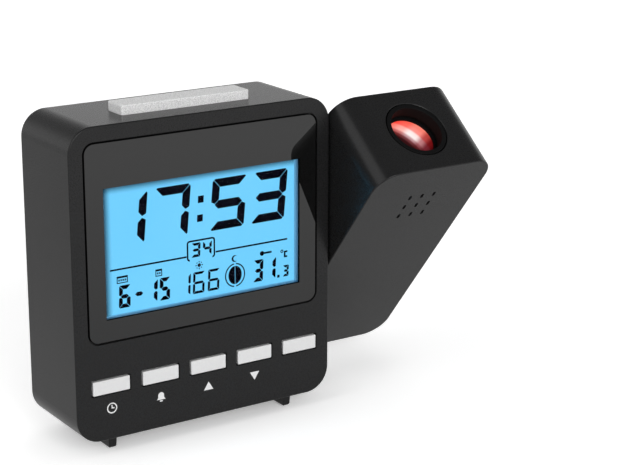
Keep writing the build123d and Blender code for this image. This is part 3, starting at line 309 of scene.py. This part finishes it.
# Painted display light on the frame's inner wall, rising towards the films
PAINTED_WALL_LIGHT = 0.42
PAINTED_WALL_LIGHT_START, PAINTED_WALL_LIGHT_FULL = -2.4 * MM, 0.4 * MM
# Painted shade of the black print's edge: the light fades towards the left and the upper edge of the view
LEFT_SHADE_FULL, LEFT_SHADE_END = 0.9 * MM, 4.2 * MM
TOP_SHADE_WIDTH = 3.4 * MM
CLOUD_SIZE, CLOUD_DETAIL = 1 / 28, 1.0
STRIPE_SCALE, STRIPE_BLACK, STRIPE_PINK = 800.0, (0.02, 0.02, 0.02), (0.55, 0.3, 0.35)

film_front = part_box("lcd_polarisers")[0].y
# Blue-grey colour and glow of the frame: painted display light and shade
frame_painted_light = new_finish("frame_painted_display_light", colour=(0.12, 0.2, 0.3), roughness=0.5,
                        Emission_Color=(*DISPLAY_BLUE, 1))
grain(frame_painted_light, size=0.4 * MM, depth=0.004 * MM, rough=(0.45, 0.55))
tree = frame_painted_light.node_tree
painted_wall_light = rescale(tree, split(tree, place_on(frame_painted_light))["Y"], film_front + PAINTED_WALL_LIGHT_START,
                    film_front + PAINTED_WALL_LIGHT_FULL, to_high=PAINTED_WALL_LIGHT, smooth=True)
set_shader(frame_painted_light, Emission_Strength=painted_wall_light)
dress(frame_painted_light, "lcd_frame")

lit_film = new_finish("lit_film", colour=(0.01, 0.02, 0.03), roughness=0.5, specular=0.0)
tree = lit_film.node_tree
where = split(tree, place_on(lit_film))
view_left = view_middle.x - VIEW_W / 2
view_top = view_middle.z + VIEW_H / 2
left_edge_shade = rescale(tree, where["X"], view_left + LEFT_SHADE_FULL, view_left + LEFT_SHADE_END, smooth=True)
top_edge_shade = rescale(tree, where["Z"], view_top, view_top - TOP_SHADE_WIDTH, smooth=True)
cloud = noise_on(lit_film, CLOUD_SIZE, CLOUD_DETAIL)
set_shader(lit_film, Emission_Color=blend(tree, cloud, FILM_BLUE, FILM_BLUE_PALER),
           Emission_Strength=calc(tree, "MULTIPLY", left_edge_shade, top_edge_shade))
dress(lit_film, "lcd_polarisers")

cell_glass = new_finish("display_glass", colour=(0.8, 0.9, 0.95), roughness=0.02, Transmission_Weight=0.6)
grain(cell_glass, size=2 * MM, depth=0.0005 * MM, rough=(0.01, 0.04))
dress(cell_glass, "lcd_glass")

guide_film = new_finish("milky_acrylic", colour=(0.75, 0.88, 0.95), roughness=0.35,
                        Emission_Color=(*DISPLAY_BLUE, 1), Emission_Strength=0.3)
grain(guide_film, size=0.6 * MM, depth=0.003 * MM, rough=(0.3, 0.4))
dress(guide_film, "diffuser", "light_guide", "reflector")

lamp_body = new_finish("lamp_white", colour=(0.85, 0.86, 0.78), roughness=0.3)
grain(lamp_body, size=0.5 * MM, depth=0.002 * MM, rough=(0.25, 0.35))
dress(lamp_body, "backlight_lamps")

striped_rubber = new_finish("striped_rubber", colour=(0.3, 0.3, 0.32), roughness=0.7)
tree = striped_rubber.node_tree
stripes = add_node(tree, "ShaderNodeTexWave", Vector=place_on(striped_rubber), Scale=STRIPE_SCALE)
set_shader(striped_rubber, Base_Color=blend(tree, stripes.outputs["Fac"], STRIPE_BLACK, STRIPE_PINK))
dress(striped_rubber, "contact_strip")

# ---------------------------------------------------------------------------------------------------
# Figures of the display: dark liquid-crystal segments with mitred ends and hairline gaps, drawn in
# millimetres from the middle of the view and laid on the front film.

FIGURE_T = 0.03
FILM_GAP = 0.01
CORNER_CLIP = 0.32
MITRE = 0.707
UPRIGHT = Matrix.Rotation(radians(90), 4, "X")
FIGURE_DARK, FIGURE_DARK_PALER = (0.001, 0.001, 0.004), (0.002, 0.002, 0.006)
# Bars a to f run clockwise from the top one, and g is the middle one
BARS_OF = {"1": "bc", "3": "abcdg", "4": "bcfg", "5": "acdfg", "6": "acdefg", "7": "abc"}

figures = bmesh.new()


def put_shape(drawing, outline, place=(0, 0)):
    """One flat figure from its corner points."""
    drawing.faces.new([drawing.verts.new((place[0] + x, place[1] + y, 0)) for x, y in outline])


def put_block(drawing, middle, size):
    """An upright rectangle round its middle."""
    wide, high = size[0] / 2, size[1] / 2
    put_shape(drawing, [(-wide, -high), (wide, -high), (wide, high), (-wide, high)], middle)


def turned_over(outline, wide=None, high=None):
    """An outline mirrored within its width, its height or both."""
    return [(x if wide is None else wide - x, y if high is None else high - y) for x, y in outline]


def seven_segments(figure, place, size, bar, gap, tip, slant):
    """The lit bars of one seven-bar figure with its lower left corner at `place`.

    `gap` is the width of a mitre line and `tip` half the space between the points of two bars in a row.
    """
    wide, high = size
    half = high / 2
    clip = bar * CORNER_CLIP
    step = gap * MITRE
    in_clip, out_clip = (clip + step) / 2, (clip - step) / 2
    across = [(clip, high), (wide - clip, high), (wide - in_clip, high - out_clip),
              (wide - bar - step, high - bar), (bar + step, high - bar), (in_clip, high - out_clip)]
    upright = [(out_clip, high - in_clip), (bar, high - bar - step), (bar, half + tip + bar / 2),
               (bar / 2, half + tip), (0, half + tip + bar / 4), (0, high - clip)]
    end = bar / 2 - tip + 2 * step
    between = [(end, half), (end + bar / 2, half + bar / 2), (wide - end - bar / 2, half + bar / 2),
               (wide - end, half), (wide - end - bar / 2, half - bar / 2), (end + bar / 2, half - bar / 2)]
    bars = {"a": across, "b": turned_over(upright, wide), "c": turned_over(upright, wide, high),
            "d": turned_over(across, high=high), "e": turned_over(upright, high=high), "f": upright,
            "g": between}
    for name in BARS_OF[figure]:
        put_shape(figures, [(x + slant * (y - high), y) for x, y in bars[name]], place)


def seven_row(text, left, pitch, low, **style):
    """A row of figures, each `pitch` further right."""
    for number, figure in enumerate(text):
        seven_segments(figure, (left + number * pitch, low), **style)


def cut_gap(drawing, half, only_below=False):
    """Cut a drawing along two upright lines and take out what lies between them."""
    for x in (-half, half):
        bmesh.ops.bisect_plane(drawing, geom=drawing.faces[:] + drawing.edges[:] + drawing.verts[:],
                               plane_co=(x, 0, 0), plane_no=(1, 0, 0))
    middles = [(face, face.calc_center_median()) for face in drawing.faces]
    inside = [face for face, at in middles if abs(at.x) < half and not (only_below and at.y > 0)]
    bmesh.ops.delete(drawing, geom=inside, context="FACES")


def add_drawing(target, drawing, place):
    """Add a small drawing to a larger one at its place and let go of it."""
    bmesh.ops.translate(drawing, vec=(*place, 0), verts=drawing.verts)
    sheet = bpy.data.meshes.new("sheet")
    drawing.to_mesh(sheet)
    target.from_mesh(sheet)
    bpy.data.meshes.remove(sheet)
    drawing.free()


def put_ring(target, centre, radii, thick, open_half=0.0, sides=48):
    """An oval ring, open above and below over twice `open_half`."""
    ring = bmesh.new()
    bmesh.ops.create_circle(ring, segments=sides, radius=1.0)
    inner = bmesh.ops.extrude_edge_only(ring, edges=ring.edges[:])["geom"]
    inner = [v for v in inner if isinstance(v, bmesh.types.BMVert)]
    outer = [v for v in ring.verts if v not in inner]
    bmesh.ops.scale(ring, vec=(radii[0], radii[1], 1), verts=outer)
    bmesh.ops.scale(ring, vec=(radii[0] - thick, radii[1] - thick, 1), verts=inner)
    if open_half:
        cut_gap(ring, open_half)
    add_drawing(target, ring, centre)


# Hours and minutes with their colon
TIME_STYLE = {"size": (12.3, 16.15), "bar": 2.65, "gap": 0.13, "tip": 0.28, "slant": 0.096}
TIME_PITCH, TIME_LOW = 14.8, 0.7
HOURS_LEFT, MINUTES_LEFT = -30.05, 4.75
COLON_PLACES = ((0.35, 11.3), (-0.05, 5.4))
COLON_DOT = [(-1.0, -1.1), (1.0, -1.1), (1.1, 1.1), (-0.9, 1.1)]
seven_row("17", HOURS_LEFT, TIME_PITCH, TIME_LOW, **TIME_STYLE)
seven_row("53", MINUTES_LEFT, TIME_PITCH, TIME_LOW, **TIME_STYLE)
for place in COLON_PLACES:
    put_shape(figures, COLON_DOT, place)

# Lines on both sides of the small frame with the seconds
LINE_Y, LINE_T = -6.15, 0.54
LINE_ENDS = ((-31.0, -4.9), (5.4, 31.6))
for left, stop in LINE_ENDS:
    put_block(figures, ((left + stop) / 2, LINE_Y), (stop - left, LINE_T))

# Small frame with rounded corners, open below between its hooks, and the seconds in it
BOX_PLACE = (0.22, -4.48)
BOX_W, BOX_H = 10.0, 6.55
BOX_CORNER, CORNER_STEPS = 1.0, 5
HOOK = 1.0
SECONDS_LEFT, SECONDS_PITCH, SECONDS_LOW = -3.0, 4.0, -6.7
SECONDS_STYLE = {"size": (3.1, 4.5), "bar": 0.84, "gap": 0.08, "tip": 0.12, "slant": 0.05}
box = bmesh.new()
bmesh.ops.create_grid(box, x_segments=1, y_segments=1, size=0.5)
bmesh.ops.scale(box, vec=(BOX_W, BOX_H, 1), verts=box.verts)
bmesh.ops.bevel(box, geom=box.verts[:], offset=BOX_CORNER, offset_type="OFFSET", affect="VERTICES",
                segments=CORNER_STEPS, profile=0.5, material=-1)
bmesh.ops.inset_region(box, faces=box.faces[:], thickness=LINE_T, use_boundary=True, use_even_offset=True)
bmesh.ops.delete(box, geom=[max(box.faces, key=lambda face: len(face.verts))], context="FACES")
cut_gap(box, BOX_W / 2 - HOOK, only_below=True)
add_drawing(figures, box, BOX_PLACE)
seven_row("34", SECONDS_LEFT, SECONDS_PITCH, SECONDS_LOW, **SECONDS_STYLE)

# Lower row: month, date, day of the year and degrees, with a dash after the month and a decimal point.
# Each entry has its text, left end, pitch, size, slant and style.
ROW_LOW = -18.4
THICK = {"bar": 1.26, "gap": 0.13, "tip": 0.2}
THIN = {"bar": 0.8, "gap": 0.12, "tip": 0.2}
TENTHS = {"bar": 0.78, "gap": 0.08, "tip": 0.12}
LOW_ROW = (("6", -28.1, 0, (3.9, 7.1), 0.04, THICK),
           ("1", -18.55, 0, (3.6, 7.1), 0.05, THICK),
           ("5", -14.25, 0, (3.6, 7.1), 0.04, THICK),
           ("1", -7.55, 0, (4.1, 6.9), 0.05, THIN),
           ("66", -2.6, 5.3, (4.1, 6.9), 0.05, THIN),
           ("31", 19.15, 4.7, (3.6, 7.1), 0.045, THICK),
           ("3", 30.0, 0, (2.2, 3.7), 0.04, TENTHS))
DASH_PLACE = (-21.45, -14.9)
DASH = [(-0.65, 0.65), (0.75, 0.65), (1.35, 0.0), (0.75, -0.65), (-0.65, -0.65), (-1.35, 0.0)]
POINT_PLACE = (27.8, ROW_LOW)
POINT = [(0.0, 0.0), (0.9, 0.0), (0.95, 0.9), (0.05, 0.9)]
for text, left, pitch, size, slant, style in LOW_ROW:
    seven_row(text, left, pitch, ROW_LOW, size=size, slant=slant, **style)
put_shape(figures, DASH, DASH_PLACE)
put_shape(figures, POINT, POINT_PLACE)

# Moon: a broken ring with the two halves of the dark disc inside
MOON = (12.3, -14.8)
MOON_RING, MOON_RING_T, MOON_OPEN_HALF = (3.65, 3.85), 0.4, 0.35
MOON_DISC, MOON_DISC_SIDES, MOON_SPLIT_HALF = (2.4, 2.95), 40, 0.08
put_ring(figures, MOON, MOON_RING, MOON_RING_T, open_half=MOON_OPEN_HALF)
disc = bmesh.new()
bmesh.ops.create_circle(disc, cap_ends=True, segments=MOON_DISC_SIDES, radius=1.0)
bmesh.ops.scale(disc, vec=(*MOON_DISC, 1), verts=disc.verts)
cut_gap(disc, MOON_SPLIT_HALF)
add_drawing(figures, disc, MOON)

# Degree sign and its unit
DOT_SIDES = 20
DEGREE_PLACE, DEGREE_R, DEGREE_T = (29.6, -9.95), 0.55, 0.32
UNIT_PLACE = (30.35, -12.1)
UNIT = [(1.35, 2.15), (0.0, 2.15), (0.0, 0.0), (1.25, 0.0), (1.25, 0.55), (0.6, 0.55), (0.6, 1.6),
        (1.35, 1.6)]
put_ring(figures, DEGREE_PLACE, (DEGREE_R, DEGREE_R), DEGREE_T, sides=DOT_SIDES)
put_shape(figures, UNIT, UNIT_PLACE)

# Small marks over the lower row, in the order of the figures: month sheet, day sheet, sun, crescent and
# thermometer. A sheet has a bar above, a line round the rest and a block for each of its days.
MARK_Y = -9.45
PINHOLE = 0.01
SHEETS = ((-27.0, 4), (-14.6, 2))
DAY_SIZE, DAY_PITCH, DAY_DOWN = (0.44, 0.62), 0.72, 0.18
SHEET_MARGIN, SHEET_LINE = 0.42, 0.28
SHEET_BAR_UP, SHEET_BAR_T = 0.8, 0.62
SHEET_FOOT_DOWN = 1.0
SHEET_SIDE_DOWN, SHEET_SIDE_H = 0.185, 1.35
SUN_X, SUN_R = -0.5, 0.58
RAY_OUT, RAY_LONG, RAY_T = 1.08, 0.5, 0.3
CORNER_RAY_OUT, CORNER_RAY = 0.78, (0.34, 0.34)
CRESCENT_X, CRESCENT_R, CRESCENT_TURNS = 12.2, 1.1, range(50, 311, 20)
HOLLOW_RIGHT, HOLLOW_R, HOLLOW_TURNS = 0.36, 0.84, range(290, 69, -20)
BULB_X, BULB_R = 22.2, 0.78
STEM_X, STEM_SIZE = 24.3, (2.9, 0.62)


def put_dot(target, centre, radius):
    """A round dot, as a ring closed down to a pinhole."""
    put_ring(target, centre, (radius, radius), radius - PINHOLE, sides=DOT_SIDES)


def arc(middle, radius, turns):
    """Points round a middle at the given turns in degrees."""
    angles = [radians(turn) for turn in turns]
    return [(middle[0] + cos(angle) * radius, middle[1] + sin(angle) * radius) for angle in angles]


for sheet_x, days in SHEETS:
    half = DAY_PITCH / 2 * days + SHEET_MARGIN
    put_block(figures, (sheet_x, MARK_Y + SHEET_BAR_UP), (2 * half, SHEET_BAR_T))
    put_block(figures, (sheet_x, MARK_Y - SHEET_FOOT_DOWN), (2 * half, SHEET_LINE))
    for side in (-1, 1):
        put_block(figures, (sheet_x + side * (half - SHEET_LINE / 2), MARK_Y - SHEET_SIDE_DOWN),
                  (SHEET_LINE, SHEET_SIDE_H))
    for day in range(days):
        put_block(figures, (sheet_x + (day - (days - 1) / 2) * DAY_PITCH, MARK_Y - DAY_DOWN), DAY_SIZE)
put_dot(figures, (SUN_X, MARK_Y), SUN_R)
for side in (-1, 1):
    put_block(figures, (SUN_X + side * RAY_OUT, MARK_Y), (RAY_LONG, RAY_T))
    put_block(figures, (SUN_X, MARK_Y + side * RAY_OUT), (RAY_T, RAY_LONG))
    for up in (1, -1):
        put_block(figures, (SUN_X + side * CORNER_RAY_OUT, MARK_Y + up * CORNER_RAY_OUT), CORNER_RAY)
crescent = arc((0, 0), CRESCENT_R, CRESCENT_TURNS) + arc((HOLLOW_RIGHT, 0), HOLLOW_R, HOLLOW_TURNS)
put_shape(figures, crescent, (CRESCENT_X, MARK_Y))
put_dot(figures, (BULB_X, MARK_Y), BULB_R)
put_block(figures, (STEM_X, MARK_Y), STEM_SIZE)


def stand_up(drawing, thick, place):
    """Raise a flat drawing in millimetres into thin plates and set it upright at `place`, to the front."""
    bmesh.ops.recalc_face_normals(drawing, faces=drawing.faces[:])
    for face in drawing.faces:
        if face.normal.z < 0:
            face.normal_flip()
    raised = bmesh.ops.extrude_face_region(drawing, geom=drawing.faces[:])
    lifted = [v for v in raised["geom"] if isinstance(v, bmesh.types.BMVert)]
    bmesh.ops.translate(drawing, vec=(0, 0, thick), verts=lifted)
    bmesh.ops.recalc_face_normals(drawing, faces=drawing.faces[:])
    to_place = Matrix.Translation(place) @ UPRIGHT @ Matrix.Scale(MM, 4)
    bmesh.ops.transform(drawing, matrix=to_place, verts=drawing.verts)


def make_piece(name, mesh, finish, body):
    """An object from its bmesh, with its finish, riding on a body."""
    piece = bpy.data.objects.new(name, bpy.data.meshes.new(name))
    mesh.to_mesh(piece.data)
    mesh.free()
    piece.data.materials.append(finish)
    bpy.context.scene.collection.objects.link(piece)
    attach(piece, body)
    return piece


stand_up(figures, FIGURE_T, (view_middle.x, film_front - FILM_GAP * MM, view_middle.z))
figure_dark = new_finish("segment_dark", FIGURE_DARK, roughness=0.6, specular=0.02)
mottle(figure_dark, FIGURE_DARK, FIGURE_DARK_PALER, size=2 * MM)
make_piece("display_figures", figures, figure_dark, "case")

# ---------------------------------------------------------------------------------------------------
# Main board: glass laminate with green resist over its tracks, screwed to the display frame's ears. It
# carries the driver under a drop of black resin, a crystal, the temperature bead and the arm's socket.

RESIST_GREEN, RESIST_GREEN_PALER, TRACK_GREEN = (0.03, 0.16, 0.06), (0.035, 0.19, 0.07), (0.06, 0.28, 0.1)
TRACK_SCALE, TRACK_WIDTH, TRACK_HEIGHT = 120.0, 0.06, 0.03 * MM
ZINC_COOL, ZINC_WARM = (0.58, 0.6, 0.63), (0.68, 0.68, 0.66)

board_green = new_finish("green_resist", RESIST_GREEN, roughness=0.35)
tracks = add_node(board_green.node_tree, "ShaderNodeTexBrick", Vector=place_on(board_green),
                  Scale=TRACK_SCALE, Mortar_Size=TRACK_WIDTH, Color1=(*RESIST_GREEN, 1),
                  Color2=(*RESIST_GREEN_PALER, 1), Mortar=(*TRACK_GREEN, 1))
set_shader(board_green, Base_Color=tracks.outputs["Color"])
raise_by(board_green, tracks.outputs["Fac"], TRACK_HEIGHT)
dress(board_green, "main_board")

black_resin = new_finish("black_resin", colour=(0.012, 0.012, 0.012), roughness=0.25)
grain(black_resin, size=1.2 * MM, depth=0.01 * MM, rough=(0.2, 0.35))
dress(black_resin, "driver_chip", "temperature_sensor")

zinc = new_finish("zinc_plate", colour=(0.6, 0.61, 0.63), roughness=0.3, metallic=1.0)
grain(zinc, size=0.3 * MM, depth=0.003 * MM, rough=(0.22, 0.4))
mottle(zinc, ZINC_COOL, ZINC_WARM, size=1.5 * MM)
dress(zinc, "board_screws", "quartz_crystal")

acetal = new_finish("natural_acetal", colour=(0.7, 0.7, 0.66), roughness=0.4)
grain(acetal, size=0.6 * MM, depth=0.004 * MM, rough=(0.35, 0.48))
dress(acetal, "wire_socket")

# ---------------------------------------------------------------------------------------------------
# Keys: a grey rubber mat with a dome for each key, and five caps painted silver. The signs under four of
# them are white prints on the case, drawn in millimetres from the first key: clock, bell, up and down.

KEY_SILVER, KEY_SILVER_PALER = (0.73, 0.73, 0.73), (0.8, 0.8, 0.8)
SIGN_T, SIGN_DOWN = 0.02, 7.1
CLOCK_R, CLOCK_T = 1.7, 0.36
LONG_HAND_UP, LONG_HAND = 0.42, (0.34, 1.16)
SHORT_HAND_RIGHT, SHORT_HAND = 0.5, (0.62, 0.34)
BELL_SIDE = [(1.5, -0.9), (1.05, -0.3), (1.0, 0.5)]
BELL_TOP_R, BELL_TOP_TURNS = 1.0, range(20, 161, 20)
CLAPPER_DOWN, CLAPPER = 1.34, (0.95, 0.42)
ARROW_HALF, ARROW_FOOT, ARROW_TIP = 1.7, 1.25, 1.45

grey_rubber = new_finish("grey_rubber", colour=(0.28, 0.29, 0.31), roughness=0.75)
grain(grey_rubber, size=0.3 * MM, depth=0.004 * MM, rough=(0.7, 0.8))
dress(grey_rubber, "key_mat")

key_paint = new_finish("key_paint", colour=(0.76, 0.76, 0.76), roughness=0.38)
grain(key_paint, size=0.18 * MM, depth=0.004 * MM, rough=(0.32, 0.45))
mottle(key_paint, KEY_SILVER, KEY_SILVER_PALER, size=0.8 * MM)
key_names = [f"key_{number}" for number in range(1, 6)]
dress(key_paint, *key_names)

signs = bmesh.new()
first_key = middle_of(key_names[0])
case_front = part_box("front_case")[0].y
clock_x, bell_x, up_x, down_x = [(middle_of(name).x - first_key.x) / MM for name in key_names[:4]]
put_ring(signs, (clock_x, 0), (CLOCK_R, CLOCK_R), CLOCK_T)
put_block(signs, (clock_x, LONG_HAND_UP), LONG_HAND)
put_block(signs, (clock_x + SHORT_HAND_RIGHT, 0), SHORT_HAND)
bell = BELL_SIDE + arc((0, BELL_SIDE[-1][1]), BELL_TOP_R, BELL_TOP_TURNS)
bell += [(-x, y) for x, y in reversed(BELL_SIDE)]
put_shape(signs, bell, (bell_x, 0))
put_block(signs, (bell_x, -CLAPPER_DOWN), CLAPPER)
for x, way in ((up_x, 1), (down_x, -1)):
    arrow = [(-ARROW_HALF, -way * ARROW_FOOT), (ARROW_HALF, -way * ARROW_FOOT), (0, way * ARROW_TIP)]
    put_shape(signs, arrow, (x, 0))
stand_up(signs, SIGN_T, (first_key.x, case_front, first_key.z - SIGN_DOWN * MM))
white_print = new_finish("white_print", colour=(0.82, 0.82, 0.82), roughness=0.5)
grain(white_print, size=0.2 * MM, depth=0.002 * MM, rough=(0.45, 0.55))
make_piece("key_signs", signs, white_print, "case")

# ---------------------------------------------------------------------------------------------------
# Bar on the top: a long cap in silver paint with coarse flakes, over a push switch on its own small
# board.

FLAKE_SIZE = 0.33 * MM
FLAKE_LOW, FLAKE_HIGH = 0.35, 0.65
FLAKE_DARK, FLAKE_LIGHT = 0.66, 1.0

bar_paint = new_finish("bar_paint", colour=(0.85, 0.85, 0.85), roughness=0.4)
grain(bar_paint, size=0.3 * MM, depth=0.006 * MM, rough=(0.35, 0.5))
flakes = noise_on(bar_paint, FLAKE_SIZE, PATCH_DETAIL)
set_shader(bar_paint, Base_Color=rescale(bar_paint.node_tree, flakes, FLAKE_LOW, FLAKE_HIGH, FLAKE_DARK,
                                         FLAKE_LIGHT))
dress(bar_paint, "snooze_bar")

black_plastic = new_finish("smooth_black", colour=(0.008, 0.008, 0.009), roughness=0.3, specular=0.4)
grain(black_plastic, size=0.5 * MM, depth=0.003 * MM, rough=(0.25, 0.38))
dress(black_plastic, "snooze_switch")
dress(board_green, "snooze_board")

# ---------------------------------------------------------------------------------------------------
# Return springs: two coils of zinc-plated wire under the bar, with open turns between closed ends. They
# stand in the case at their full height.

SPRING_R, WIRE_R = 1.9 * MM, 0.25 * MM
OPEN_TURNS, END_TURNS = 4.5, 0.75
FLAT_PITCH = 2.1 * WIRE_R
STEPS_A_TURN, WIRE_SIDES = 28, 10

dress(zinc, "bar_springs")
spring_low, spring_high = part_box("bar_springs")
spring_y = (spring_low.y + spring_high.y) / 2
spring_tall = spring_high.z - spring_low.z
open_pitch = (spring_tall - 2 * WIRE_R - 2 * END_TURNS * FLAT_PITCH) / OPEN_TURNS
springs = bmesh.new()
for spring_x in (spring_low.x + SPRING_R + WIRE_R, spring_high.x - SPRING_R - WIRE_R):
    start = Matrix.Translation((spring_x + SPRING_R, spring_y, spring_low.z + WIRE_R)) @ UPRIGHT
    wire = bmesh.ops.create_circle(springs, segments=WIRE_SIDES, radius=WIRE_R, matrix=start)["verts"]
    section = list(dict.fromkeys(edge for vert in wire for edge in vert.link_edges))
    for turns, pitch in ((END_TURNS, FLAT_PITCH), (OPEN_TURNS, open_pitch), (END_TURNS, FLAT_PITCH)):
        steps = round(turns * STEPS_A_TURN)
        swept = bmesh.ops.spin(springs, geom=section, cent=(spring_x, spring_y, 0), axis=(0, 0, 1),
                               steps=steps, angle=radians(360 * turns), dvec=(0, 0, pitch * turns / steps))
        section = [edge for edge in swept["geom_last"] if isinstance(edge, bmesh.types.BMEdge)]
bmesh.ops.holes_fill(springs, edges=[edge for edge in springs.edges if edge.is_boundary], sides=0)
bmesh.ops.recalc_face_normals(springs, faces=springs.faces[:])
for face in springs.faces:
    face.smooth = True
coil_springs = make_piece("return_springs", springs, zinc, "case")
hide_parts("bar_springs")
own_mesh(coil_springs)

# ---------------------------------------------------------------------------------------------------
# Back of the case: cover with the battery bay, door, screws, two cells between nickel contacts, and the
# inlet for a mains adapter. A cell's jacket is dark with a pale band, and its ends are bare metal.

CELL_METAL, JACKET_DARK, JACKET_BAND = (0.6, 0.6, 0.6), (0.02, 0.03, 0.12), (0.65, 0.66, 0.68)
JACKET_STEPS = ((0.0, CELL_METAL), (0.012, JACKET_DARK), (0.7, JACKET_BAND), (0.976, CELL_METAL))


def colour_steps(tree, value, steps, style):
    """The colour for a value between 0 and 1, from places with their colours, as a socket."""
    ramp = add_node(tree, "ShaderNodeValToRGB", Fac=value)
    ramp.color_ramp.interpolation = style
    marks = ramp.color_ramp.elements
    marks.remove(marks[-1])
    for at, colour in steps:
        mark = marks.new(at) if at else marks[0]
        mark.color = (*colour, 1)
    return ramp.outputs[0]


dress(case_plastic, "rear_cover", "battery_door")
dress(zinc, "case_screws")
dress(black_plastic, "power_inlet")

nickel = new_finish("nickel_plate", colour=(0.7, 0.67, 0.6), roughness=0.2, metallic=1.0)
grain(nickel, size=0.4 * MM, depth=0.002 * MM, rough=(0.15, 0.3))
dress(nickel, "contact_plates", "contact_springs")

for number, turned_round in ((1, False), (2, True)):
    jacket = new_finish(f"cell_jacket_{number}", colour=(0.05, 0.07, 0.2), roughness=0.25, metallic=0.4)
    tree = jacket.node_tree
    low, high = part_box(f"battery_{number}")
    start, stop = (high.x, low.x) if turned_round else (low.x, high.x)
    along = rescale(tree, split(tree, place_on(jacket))["X"], start, stop)
    set_shader(jacket, Base_Color=colour_steps(tree, along, JACKET_STEPS, "CONSTANT"))
    dress(jacket, f"battery_{number}")

# ---------------------------------------------------------------------------------------------------
# Pivot: a hollow acetal shaft on the arm turns in a bush in the case wall, pulled up by a spring washer
# and a snap ring. Four thin wires run through it.

dress(acetal, "pivot_bush", "friction_washer", "pivot_shaft")
dress(zinc, "spring_washer", "snap_ring", "shaft_screws")

wire_red = new_finish("wire_sheath", colour=(0.35, 0.02, 0.02), roughness=0.4)
grain(wire_red, size=0.8 * MM, depth=0.003 * MM, rough=(0.35, 0.45))
dress(wire_red, "wire_bundle")

# ---------------------------------------------------------------------------------------------------
# Arm: the same satin black moulding as the case, closed by a screwed cover, with the buzzer behind its
# sound holes.

dress(case_plastic, "arm_shell", "arm_cover")
dress(zinc, "arm_screws")
dress(black_plastic, "buzzer")

# ---------------------------------------------------------------------------------------------------
# Projector: a turning ring and the screwed carrier in matt black plastic, darker and duller than the case
# as painted shade in the lens recess, a domed lens whose red light from the lamp behind it is painted in
# as a glow, with a painted bright streak and painted shade on one side, and in the housing the display
# that is thrown, the condenser and the lamp.

ARM_LEAN = radians(39)
# Turn and colours of the painted light on the lens: red glow, a painted highlight streak and painted shade
PAINTED_STREAK_TURN = radians(-60)
PAINTED_LIGHT_ACROSS = (6.0, ((0.0, (0.002, 0.0, 0.0)), (0.2, (0.02, 0.002, 0.003)), (0.29, (0.16, 0.04, 0.045)),
                     (0.37, (0.55, 0.32, 0.34)), (0.47, (1.0, 0.92, 0.9)), (0.59, (1.0, 0.85, 0.82)),
                     (0.71, (1.0, 0.3, 0.26)), (1.0, (0.95, 0.24, 0.18))))
PAINTED_LIGHT_ALONG = (8.0, ((0.0, (1.0, 0.2, 0.15)), (0.25, (1.0, 0.5, 0.45)), (0.42, (1.0, 1.0, 1.0)),
                    (0.56, (1.0, 0.95, 0.95)), (0.7, (0.5, 0.22, 0.24)), (0.84, (0.16, 0.02, 0.03)),
                    (1.0, (0.03, 0.002, 0.003))))

# Black plastic made darker and duller than the case: painted shade in the lens recess
black_with_recess_shade = new_finish("black_with_recess_shade", colour=(0.007, 0.007, 0.0072), roughness=0.6, specular=0.03)
grain(black_with_recess_shade, size=0.3 * MM, depth=0.004 * MM, rough=(0.45, 0.55))
dress(black_with_recess_shade, "focus_ring", "lens_carrier")

red_glass = new_finish("lens_lamp_glow_painted", colour=(0.02, 0.002, 0.002), roughness=0.05, specular=0.15,
                       Emission_Strength=1.0)
tree = red_glass.node_tree
# Millimetres on the lens: X along the bright streak, Y across it. The colours on both paint the lamp's
# red light through the dome, with the streak as a painted highlight and its darker side as painted shade
on_lens = add_node(tree, "ShaderNodeMapping", {"vector_type": "TEXTURE"}, Vector=place_on(red_glass),
                   Location=middle_of("projection_lens"), Rotation=(ARM_LEAN, 0, 0), Scale=(MM, MM, MM))
on_lens = add_node(tree, "ShaderNodeMapping", {"vector_type": "TEXTURE"}, Vector=on_lens.outputs[0],
                   Rotation=(0, 0, PAINTED_STREAK_TURN))
on_lens = split(tree, on_lens.outputs[0])
across, along = [colour_steps(tree, rescale(tree, on_lens[axis], -reach, reach), steps, "EASE")
                 for axis, (reach, steps) in (("Y", PAINTED_LIGHT_ACROSS), ("X", PAINTED_LIGHT_ALONG))]
set_shader(red_glass, Emission_Color=blend(tree, 1.0, across, along, how="MULTIPLY"))
dress(red_glass, "projection_lens")

condenser_glass = new_finish("condenser_acrylic", colour=(0.95, 0.8, 0.8), roughness=0.03,
                             Transmission_Weight=0.9)
grain(condenser_glass, size=3 * MM, depth=0.0003 * MM, rough=(0.01, 0.04))
dress(condenser_glass, "condenser_lens")

red_epoxy = new_finish("red_epoxy", colour=(0.55, 0.01, 0.01), roughness=0.15,
                       Emission_Color=(1.0, 0.05, 0.03, 1), Emission_Strength=0.6)
grain(red_epoxy, size=1 * MM, depth=0.002 * MM, rough=(0.1, 0.2))
dress(red_epoxy, "red_lamp")

dress(black_plastic, "projector_housing")
dress(zinc, "housing_screws")
dress(cell_glass, "projector_negative")
dress(board_green, "lamp_board")
dress(wire_red, "lamp_wires")
